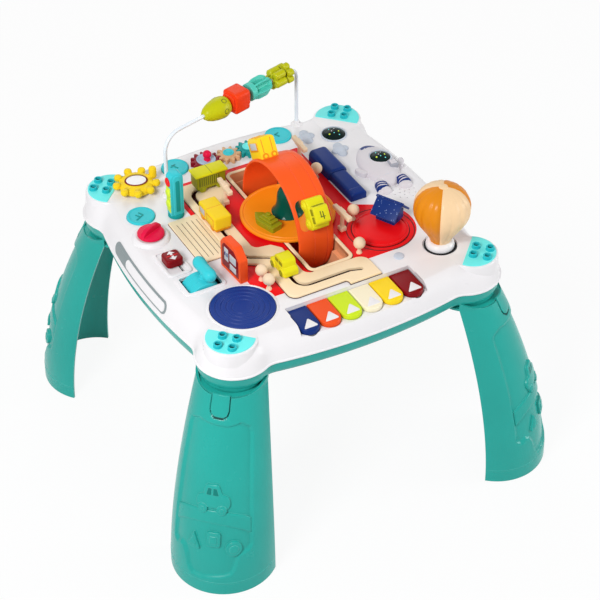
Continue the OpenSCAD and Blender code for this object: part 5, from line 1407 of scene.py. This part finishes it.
bm = bmesh.new()
leverSet = {"axleZ": 276, "tilt": 10, "grip": 31.0, "cut": -8}
at = spotOf("lever", leverSet["axleZ"]) @ Matrix.Rotation(rad(leverSet["tilt"]), 4, "Y")
lying = Matrix.Rotation(rad(90), 4, "X")
lathe(bm, [(3.1, -13), (19.2, -13), (20, -12.2), (20, -5.2), (19.2, -4.6), (19.2, -4.2), (20, -3.6),
           (20, 3.6),
           (19.2, 4.2), (19.2, 4.6), (20, 5.2), (20, 12.2), (19.2, 13), (3.1, 13), (3.1, -13)], at @ lying,
           steps=96)
sliced(bm, at @ Vector((0, 0, leverSet["cut"])), at.to_3x3() @ Vector((0, 0, -1)))
closeHoles(bm)
rod(bm, 5.2, at @ Vector((0, 0, 17)), at @ Vector((0, 0, leverSet["grip"])), radius2=3.8)
lathe(bm, [(0, -20.5), (3, -20), (5.6, -18), (7.2, -15), (7.6, -12), (7.3, -7), (6.8, 0), (7.3, 7), (7.6, 12),
           (7.2, 15), (5.6, 18), (3, 20), (0, 20.5)],
      at @ Matrix.Translation((0, 0, leverSet["grip"])) @ lying, steps=64)
finished("shiftLever", bm, ["aqua"], "shift_lever", "cyan_plastic", "shift_lever")

bm = bmesh.new()
z = deckZ + 1.6
profile = [(0, deckZ - 4), (36, deckZ - 4), (36, z - 0.8), (35.4, z - 0.1), (34.4, z)]
for r in drumSet["grooves"]:
    profile += [(r + 1.0, z), (r + 0.4, z - 0.7), (r - 0.4, z - 0.7), (r - 1.0, z)]
profile += [(6, z), (0, z)]
lathe(bm, profile, spotOf("drum"), steps=144)
finished("drumPad", bm, ["navyPad"], "drum_pad", "navy_plastic", "drum_pad")
print("buttons and pads done")

# piano keys
keyLooks = (("navy", "navy_plastic"), ("orangeToy", "orange_plastic"), ("keyLime", "lime_plastic"),
            ("keyCream", "cream_plastic"), ("yellow", "yellow_plastic"), ("darkRed", "dark_red_plastic"))
r = keys["width"] / 2
outline = [(r, 0.5), (-r, 0.5)] + arcOf((0, -keys["length"] + r), r, 180, 360, 24)
mark = roundCorners([(-8.8, -35.4), (8.8, -35.4), (3.0, -20.4)], 2.6, 6)
for i, (mat, slotName) in enumerate(keyLooks):
    bm = bmesh.new()
    at = spot(keys["first"] + (i + 0.5) * keys["pitch"], keys["back"], 0)
    prism(bm, outline, keys["top"] - 6.0, keys["top"], at, rim=1.5, steps=4)
    prism(bm, mark, keys["top"] - 0.5, keys["top"] + 0.35, at, rim=0.25, steps=2, index=1)
    node = "key_%d" % (i + 1)
    finished(camel(node), bm, [mat, "white"], node, slotName, node)

# balloon: soft gores in two colours
balloonSet = {"gores": 4, "creases": 4, "turn": -36, "seat": deckZ - 0.9}
bm = bmesh.new()
at = spotOf("balloon", balloonSet["seat"], balloonSet["turn"])
lathe(bm, [(11.6, 8.6), (12.6, 12), (15.0, 16.6), (18.6, 22.4), (22.6, 28.2), (26.2, 33.6), (29.4, 39.4),
           (31.4, 45), (32.4, 51), (32.3, 56.6), (31.0, 62.4), (28.4, 68), (24.6, 72.8), (19.6, 76.8),
           (13.6, 79.6), (7.4, 81.0), (3.4, 81.4), (0, 81.5)], steps=balloonSet["gores"] * 32)
wide = 360 / balloonSet["gores"]
for f in bm.faces:
    c = f.calc_center_median()
    f.material_index = int((math.degrees(math.atan2(c.y, c.x)) % 360) / wide) % 2
for v in bm.verts:
    a = (math.degrees(math.atan2(v.co.y, v.co.x)) % wide) / wide
    seam = 1 - 0.02 * (abs(a - 0.5) * 2) ** 14
    ribs = 1 - 0.036 * (0.5 + 0.5 * math.cos(2 * math.pi * a * balloonSet["creases"])) ** 3
    v.co.x *= seam * ribs
    v.co.y *= seam * ribs
place(bm, set(), at)
lathe(bm, [(0, 80.6), (4.6, 80.6), (5.2, 81.2), (4.8, 82.0), (3.6, 82.4), (0, 82.5)], at, steps=40, index=1)
lathe(bm, [(0, 0), (15.6, 0), (16.2, 0.6), (16.4, 3.4), (16.0, 5.6), (14.8, 7.4), (13.2, 8.8), (12.2, 9),
           (0, 9)], at, steps=80, index=2)
pin(bm, 5, -8, 0.5, at, steps=32, index=2)
# the black ring round the balloon's foot is a painted shadow
lathe(bm, [(16.4, 0.9), (18.6, 0.7), (18.6, 0.0), (16.4, 0.0), (16.4, 0.9)], at, steps=80, index=3)
finished("balloon", bm, ["balloonAmber", "balloonCream", "white", "black"], "balloon", "amber_plastic",
         "balloon")
print("keys and balloon done")

# telescopic slider
sliderSet = {"w": 21.0, "l": 100.0, "h": 11.0, "coverL": 52.0, "coverT": 1.8, "gap": 0.3}
w, h, gap = sliderSet["w"], sliderSet["h"], sliderSet["gap"]
bm = bmesh.new()
at = spotOf("slider", deckZ)
half = sliderSet["l"] / 2
prism(bm, archFace(-w / 2, w / 2, 0, h, 4.6), -half, half, at @ alongY, rim=2.4, steps=4, foot=True)
block(bm, (15, 2.4, 0.8), (0, -40, h), at, rim=0.3)
finished("sliderBase", bm, ["navy"], "table", "navy_plastic", "slider_base")
bm = bmesh.new()
at = spotOf("slider", deckZ + gap) @ Matrix.Translation((0, half - sliderSet["coverL"] / 2 + 1, 0)) @ alongY
wide = w / 2 + sliderSet["coverT"] + gap
half = sliderSet["coverL"] / 2
prism(bm, archFace(-wide, wide, 0, h + sliderSet["coverT"] + gap, 6.6), -half, half, at, rim=3.8, steps=6,
      foot=True)
cover = makeObject("sliderCover", bm, ["navy"])
cut = bmesh.new()
prism(cut, archFace(-w / 2 - gap, w / 2 + gap, -3, h + gap, 4.8), -40, 40, at)
carve(cover, cut)
seat(cover, "slider_cover", "navy_plastic", "slider_cover")


# wagon, truck and track car with their feet in the slot
def runner(bm, at):
    # foot in the road's slot
    block(bm, (12, 8.6, 1.6), (0, 0, panelTop - 1.1), at, rim=0.2)
    block(bm, (9, 3.2, 4.6), (0, 0, panelTop + 1.2), at, rim=0.2)


def wheelRow(bm, places, r, hub, inner, outer, end, at):
    # wheels on both sides of a body that runs along x
    for x in places:
        old = set(bm.verts)
        for side in (-1, 1):
            rod(bm, r, (x, side * inner, z + r), (x, side * outer, z + r), index=1, segments=32, rim=0.5)
            rod(bm, hub, (x, side * (outer - 0.2), z + r), (x, side * end, z + r), index=1, segments=20,
                rim=0.3)
        place(bm, old, at)


z = roadTop + 0.3
bm = bmesh.new()
at = spotOf("wagon")
runner(bm, at)
block(bm, (37, 16, 4), (1, 0, z + 6.4), at, rim=0.7, index=1)
block(bm, (37, 17.4, 14.6), (0.6, 0, z + 15.2), at, rim=0.9, index=1)
for side in (-1, 1):
    block(bm, (26, 0.5, 11.6), (-2.2, side * 8.7, z + 15), at, rim=0.2, index=2)
for k in range(9):
    for side in (-1, 1):
        block(bm, (1.5, 0.9, 11), (-13 + 2.7 * k, side * 8.9, z + 15), at, rim=0.35, index=1)
block(bm, (42, 20, 3), (1, 0, z + 23.4), at, rim=1.2, steps=4)
block(bm, (0.8, 19.4, 0.6), (1, 0, z + 24.95), at, rim=0.25, index=1)
wheelRow(bm, (-10.5, 11.5), 4.4, 1.9, 5.6, 8.8, 9.6, at)
finished("wagon", bm, ["lime", "olive", "ribShade"], "wagon", "lime_plastic", "wagon")

bm = bmesh.new()
at = spotOf("truck", 0, 90)
runner(bm, at)
block(bm, (41, 19, 4), (0, 0, z + 4), at, rim=0.7, index=1)
block(bm, (42, 21.6, 16.4), (0, 0, z + 12.6), at, rim=2.2, steps=5)
block(bm, (0.9, 15, 8), (20.9, 0, z + 13), at, rim=0.35, index=2)
for side in (-1, 1):
    block(bm, (14, 0.9, 9.4), (10.5, side * 10.6, z + 13), at, rim=0.4, index=1)
    block(bm, (11.6, 0.9, 7.4), (10.5, side * 10.85, z + 13.2), at, rim=0.4, index=2)
    block(bm, (18, 0.9, 10.4), (-8.5, side * 10.6, z + 12.4), at, rim=0.4, index=1)
    block(bm, (15.6, 0.9, 8), (-8.5, side * 10.8, z + 12.4), at, rim=0.4)
wheelRow(bm, (-12, 12), 4.6, 2, 6, 10.4, 11, at)
block(bm, (0.7, 20, 0.6), (2, 0, z + 20.7), at, rim=0.2, index=1)
finished("truck", bm, ["yellow", "yellowDeep", "windowGrey"], "truck", "yellow_plastic", "truck")

bm = bmesh.new()
at = spotOf("trackCar", 0, 90)
runner(bm, at)
turn = at @ Matrix.Translation((0, 0, z)) @ spinZ(-90)
profileBody(bm, [(-17, 1.4), (17, 1.4), (17.4, 9), (12, 11.6), (-13, 11.6), (-17.4, 9.4)], 8.8, turn,
            corner=[1, 1, 3, 3, 3, 3], rim=1.8)
profileBody(bm, [(-13, 8), (10, 8), (7.4, 19), (4, 20.4), (-8.6, 20.4), (-11.4, 18.6)], 8.0, turn,
            corner=[1, 1, 2.5, 3, 3, 2.5], rim=2.0)
for side in (-1, 1):
    for y0, y1 in ((-9.6, -2.2), (-0.8, 6)):
        block(bm, (0.9, y1 - y0, 5.2), (side * 7.8, (y0 + y1) / 2, 14.4), turn, rim=0.4, index=1)
for end in (-1, 1):
    block(bm, (10, 0.9, 5), (0, 9.2 * end - 1.4, 14), turn, rim=0.35, index=1)
for y in (-10, 10):
    profileBody(bm, [(y - 6.2, 1.6), (y + 6.2, 1.6), (y + 5.2, 7.4), (y + 2, 9.8), (y - 2, 9.8),
                     (y - 5.2, 7.4)], 9.9, turn, corner=2.6, rim=0.9)
    wheelPair(bm, 10.2, y, 4.2, 4.2, 3, turn, 1)
trackCar = makeObject("trackCar", bm, ["lemon", "olive"])
seat(trackCar, "track_car", "yellow_plastic", "track_car")
print("track toys done")

# fuel pump
bm = bmesh.new()
at = spotOf("pump", deckZ, 4)
profileBody(bm, [(-21, 0), (21, 0), (21, 34), (15, 42), (-9, 42), (-21, 30)], 5, at,
            corner=[1, 1, 1.5, 2, 2, 2], rim=1.0)
profileBody(bm, [(-17, 4), (17, 4), (17, 31), (13, 36.5), (-8, 36.5), (-17, 27)], 5.4, at, corner=1.2,
            rim=0.3, index=1)
profileBody(bm, [(-18.6, 1.6), (18.6, 1.6), (18.6, 4.8), (-18.6, 4.8)], 5.7, at, corner=0.6, rim=0.4)
for y0, y1, z0, z1 in ((-12.6, 0.4, 19, 29), (3.4, 11.6, 15, 32), (-12.6, 0.4, 8, 15.4)):
    for side in (-1, 1):
        block(bm, (0.8, y1 - y0, z1 - z0), (side * 5.5, (y0 + y1) / 2, (z0 + z1) / 2), at, rim=0.35, index=2)
for y0 in (5, 9.6):
    for side in (-1, 1):
        block(bm, (0.7, 2.4, 5), (side * 5.85, y0, 24), at, rim=0.25, index=3)
block(bm, (7.4, 9, 9.6), (0.4, -6.5, 35.0), at, rim=1.2)
finished("fuelPump", bm, ["orangeToy", "darkRed", "windowGrey", "navy"], "table", "orange_plastic",
         "fuel_pump")

# wooden-look trees and signposts
scenery = {
    "trees": ((40.5, -93), (65.5, -36.5), (68.5, 55), (-78, -83), (-78.5, -101)),
    "posts": ((44.6, -47.4, 4), (-48.6, 61.5, -3), (68, 95, -3)),
}
bm = bmesh.new()
low = panelTop
for x, y in scenery["trees"]:
    at = spot(x, y, 0)
    lathe(bm, [(0, low - 1), (3.4, low), (3.2, low + 1.4), (2.2, low + 3), (1.9, low + 5), (1.9, low + 8),
               (0, low + 8)], at, steps=28)
    ball(bm, 6.9, (0, 0, deckZ + 14), at, segments=40)
for x, y, turn in scenery["posts"]:
    at = spot(x, y, panelTop, turn)
    lathe(bm, [(0, -1), (2.4, 0), (2.3, 22), (0, 22.4)], at, steps=28)
    block(bm, (7.6, 8.4, 5.4), (0, 0, 2.6), at, rim=0.8)
    block(bm, (5.6, 33, 5.0), (0, 0, 24), at, rim=0.9)
    block(bm, (6.8, 11, 6.0), (0, 2, 24.2), at, rim=0.8)
    block(bm, (6.2, 5, 5.6), (0, -13.4, 24), at, rim=0.7)
finished("sceneryPegs", bm, ["peg"], "table", "peach_plastic", "scenery_pegs")

# sky reliefs: clouds and a plain explorer in a suit
bm = bmesh.new()
for x, y in ((98, 134), (121, 91)):
    for ox, oy, r in ((0, 0, 8.4), (7.4, -3.4, 6), (-6.8, 4, 6), (2, 6, 5.4), (-1.4, -6, 5)):
        puff = [(0, 0), (1, 0), (0.98, 0.1), (0.9, 0.26), (0.74, 0.42), (0.5, 0.54), (0.24, 0.6), (0, 0.61)]
        lathe(bm, [(r * px, deckZ + r * pz) for px, pz in puff],
              spot(x, y, 0, -70) @ spot(ox, oy, 0), steps=40, index=1)
lathe(bm, [(0, deckZ), (6, deckZ), (5.6, deckZ + 1.6), (4, deckZ + 2.4), (0, deckZ + 2.5)], spotOf("dot"),
      steps=36, index=1)
suit = {"rx": 22.6, "ry": 41.5, "h": 12.4, "turn": -6}
old = set(bm.verts)
faces = set(bm.faces)
bmesh.ops.create_uvsphere(bm, u_segments=96, v_segments=48, radius=1.0)
for v in newVerts(bm, old):
    narrow = 1 - 0.2 * smooth((-v.co.y - 0.3) / 0.6) - 0.04 * smooth((v.co.y - 0.4) / 0.5)
    up = suit["h"] * v.co.z ** 0.8 if v.co.z > 0 else v.co.z
    v.co = (v.co.x * suit["rx"] * narrow, v.co.y * suit["ry"], up)
for f in bm.faces:
    if f not in faces:
        c = f.calc_center_median()
        f.material_index = 2 if c.y > suit["ry"] * 0.7 and abs(c.x) < 9 and c.z > 0.8 else 0
at = spotOf("explorer", deckZ, suit["turn"])
place(bm, old, at)
block(bm, (11, 12, 7), (12.5, -13.5, 10.2), at, rim=1.8, steps=4, index=3)
block(bm, (7.4, 8, 1), (12.5, -13.5, 13.8), at, rim=0.4, index=0)
for side, y, turn in ((1, -7, -30), (-1, -7, 30)):
    arm = [(-4, -9), (4, -7), (5.4, 3), (2.4, 9), (-2, 8)]
    prism(bm, roundCorners([(side * px, py) for px, py in arm][:: side], 3, 5), 0, 6.6,
          at @ spot(side * 24.6, y, 0, turn), rim=2.4, steps=5)
for k in range(15):
    a = -14.5 + 29 * k / 14
    rise = suit["h"] * max(0.0, 1 - (a / 17.6) ** 2 - (29 / suit["ry"]) ** 2) ** 0.4
    ball(bm, 0.55, (a, -28.5 + 0.012 * a * a, rise + 0.1), at, segments=10, index=1)
for side, legX, legY in ((-1, -13, -41), (1, 13.5, -38.5)):
    for shift, r, mat in ((1.2, 7.2, 0), (-2.2, 7.6, 2), (-4.0, 7.4, 0), (-5.4, 7.7, 2), (-8.4, 7.5, 0),
                          (-9.6, 7.7, 2)):
        lathe(bm, [(0, 0), (r, 0), (r * 0.98, 2.6), (r * 0.82, 5.4), (r * 0.4, 7.1), (0, 7.4)],
              at @ spot(legX * (1 - 0.012 * shift), legY + shift + 6, 0), steps=36, index=mat)
    old = set(bm.verts)
    bmesh.ops.create_uvsphere(bm, u_segments=36, v_segments=18, radius=1.0)
    for v in newVerts(bm, old):
        v.co = (v.co.x * 8.6, v.co.y * 6.6, v.co.z * 7.0 if v.co.z > 0 else v.co.z * 0.6)
    place(bm, old, at @ spot(legX + side * 0.6, legY - 7.4, 0))
reliefs = makeObject("skyReliefs", bm, ["paleGrey", "cloudGrey", "navy", "boxGrey"])
cut = bmesh.new()
lathe(cut, [(0, deckZ + 9), (13.6, deckZ + 9), (14.2, deckZ + 17), (0, deckZ + 17)], spotOf("visor"),
      steps=64)
carve(reliefs, cut)
seat(reliefs, "table", "pale_grey_plastic", "sky_reliefs")
bm = bmesh.new()
# small cyan, lime and white balls on each lens are painted highlights
glints = ((200, 0.55, 1.2, 3), (246, 0.3, 0.8, 2), (290, 0.62, 0.9, 2), (330, 0.4, 1.0, 3),
          (120, 0.5, 0.9, 2),
          (60, 0.3, 0.7, 4), (170, 0.2, 0.7, 4))
for name, r, h, low in (("lens", 14.4, 5.8, deckZ + 0.4), ("visor", 12.4, 5.0, deckZ + 9.6)):
    x, y = spots[name]
    big = (r * r + h * h) / (2 * h)
    edge = math.degrees(math.asin(r / big))
    cap = [(big * math.sin(rad(edge * k / 12)), low + h - big + big * math.cos(rad(edge * k / 12)))
           for k in range(12, -1, -1)]
    lathe(bm, [(0, low - 0.4), (r, low - 0.4)] + cap, spotOf(name))
    lathe(bm, [(r - 0.2, low - 0.5), (r + 1.6, low - 0.5), (r + 1.6, low + 0.8), (r + 1.1, low + 1.4),
               (r + 0.3, low + 1.4), (r - 0.2, low + 0.9), (r - 0.2, low - 0.5)], spotOf(name), index=1)
    for a, far, size, mat in glints:
        rise = low + h - big + math.sqrt(big ** 2 - (r * far) ** 2)
        ball(bm, size, (x + r * far * math.cos(rad(a)), y + r * far * math.sin(rad(a)), rise - 0.3),
             segments=14, index=mat)
finished("skyLenses", bm, ["visor", "cloudGrey", "cyan", "signalLime", "white"], "table", "green_lens",
         "sky_lenses")
print("sky panel done")

# label plate on the left side, left bare
labelSet = {"mid": 6.0, "z": 273.0, "wall": 0.9}


def sideIn(z):
    # how far the casing's side lies inside the plan at this height
    points = casing["side"]
    for (d0, z0), (d1, z1) in zip(points[4:], points[5:]):
        if z0 <= z <= z1:
            return d0 + (d1 - d0) * (z - z0) / (z1 - z0)
    return 0.5


def labelSheet(bm, shift, length, height, lift, index):
    # pill-shaped sheet bent round the casing's side
    old = set(bm.verts)
    oldFaces = set(bm.faces)
    bmesh.ops.create_grid(bm, x_segments=70, y_segments=10, size=1.0)
    for v in newVerts(bm, old):
        y = math.sin(v.co.x * math.pi / 2) * length / 2
        over = max(0.0, abs(y) - (length - height) / 2)
        tall = math.sqrt(max(0.0001, (height / 2) ** 2 - over ** 2))
        z = labelSet["z"] + v.co.y * tall
        turn = (labelSet["mid"] + shift + y) / bellyR
        r = bellyR - sideIn(z) + lift
        v.co = (bellyR - plan["half"] - r * math.cos(turn), r * math.sin(turn), z)
    bmesh.ops.remove_doubles(bm, verts=newVerts(bm, old), dist=0.02)
    made = [f for f in bm.faces if f not in oldFaces]
    bmesh.ops.recalc_face_normals(bm, faces=made)
    if sum(f.normal.x for f in made) > 0:
        bmesh.ops.reverse_faces(bm, faces=made)
    bmesh.ops.solidify(bm, geom=made, thickness=labelSet["wall"])
    paint(bm, oldFaces, index)


bm = bmesh.new()
for shift, length, height, lift, mat in ((0, 134, 15, 0.6, 0), (-16, 96, 10.4, 0.95, 1),
                                         (48, 26, 8.4, 0.8, 0)):
    labelSheet(bm, shift, length, height, lift, mat)
finished("labelPlate", bm, ["grey", "white"], "table", "grey_plastic", "label_plate")
print("label done")

# better finishes for the CAD pieces that stay
finish["steel"] = mouldedPlastic("brushedSteel", (186, 188, 192), rough=0.35, drift=0.04, coat=0.0)
finish["steel"].node_tree.nodes["Principled BSDF"].inputs["Metallic"].default_value = 1.0
nodeLooks = {"turntable_bridge": "amber", "pivot_rods": "steel", "circuit_board": "tealDeep",
             "loudspeaker": "black", "battery_cells": "steel", "battery_cover": "teal",
             "case_screws": "steel"}
for node, mat in nodeLooks.items():
    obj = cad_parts[node]
    obj.data.materials.clear()
    obj.data.materials.append(finish[mat])
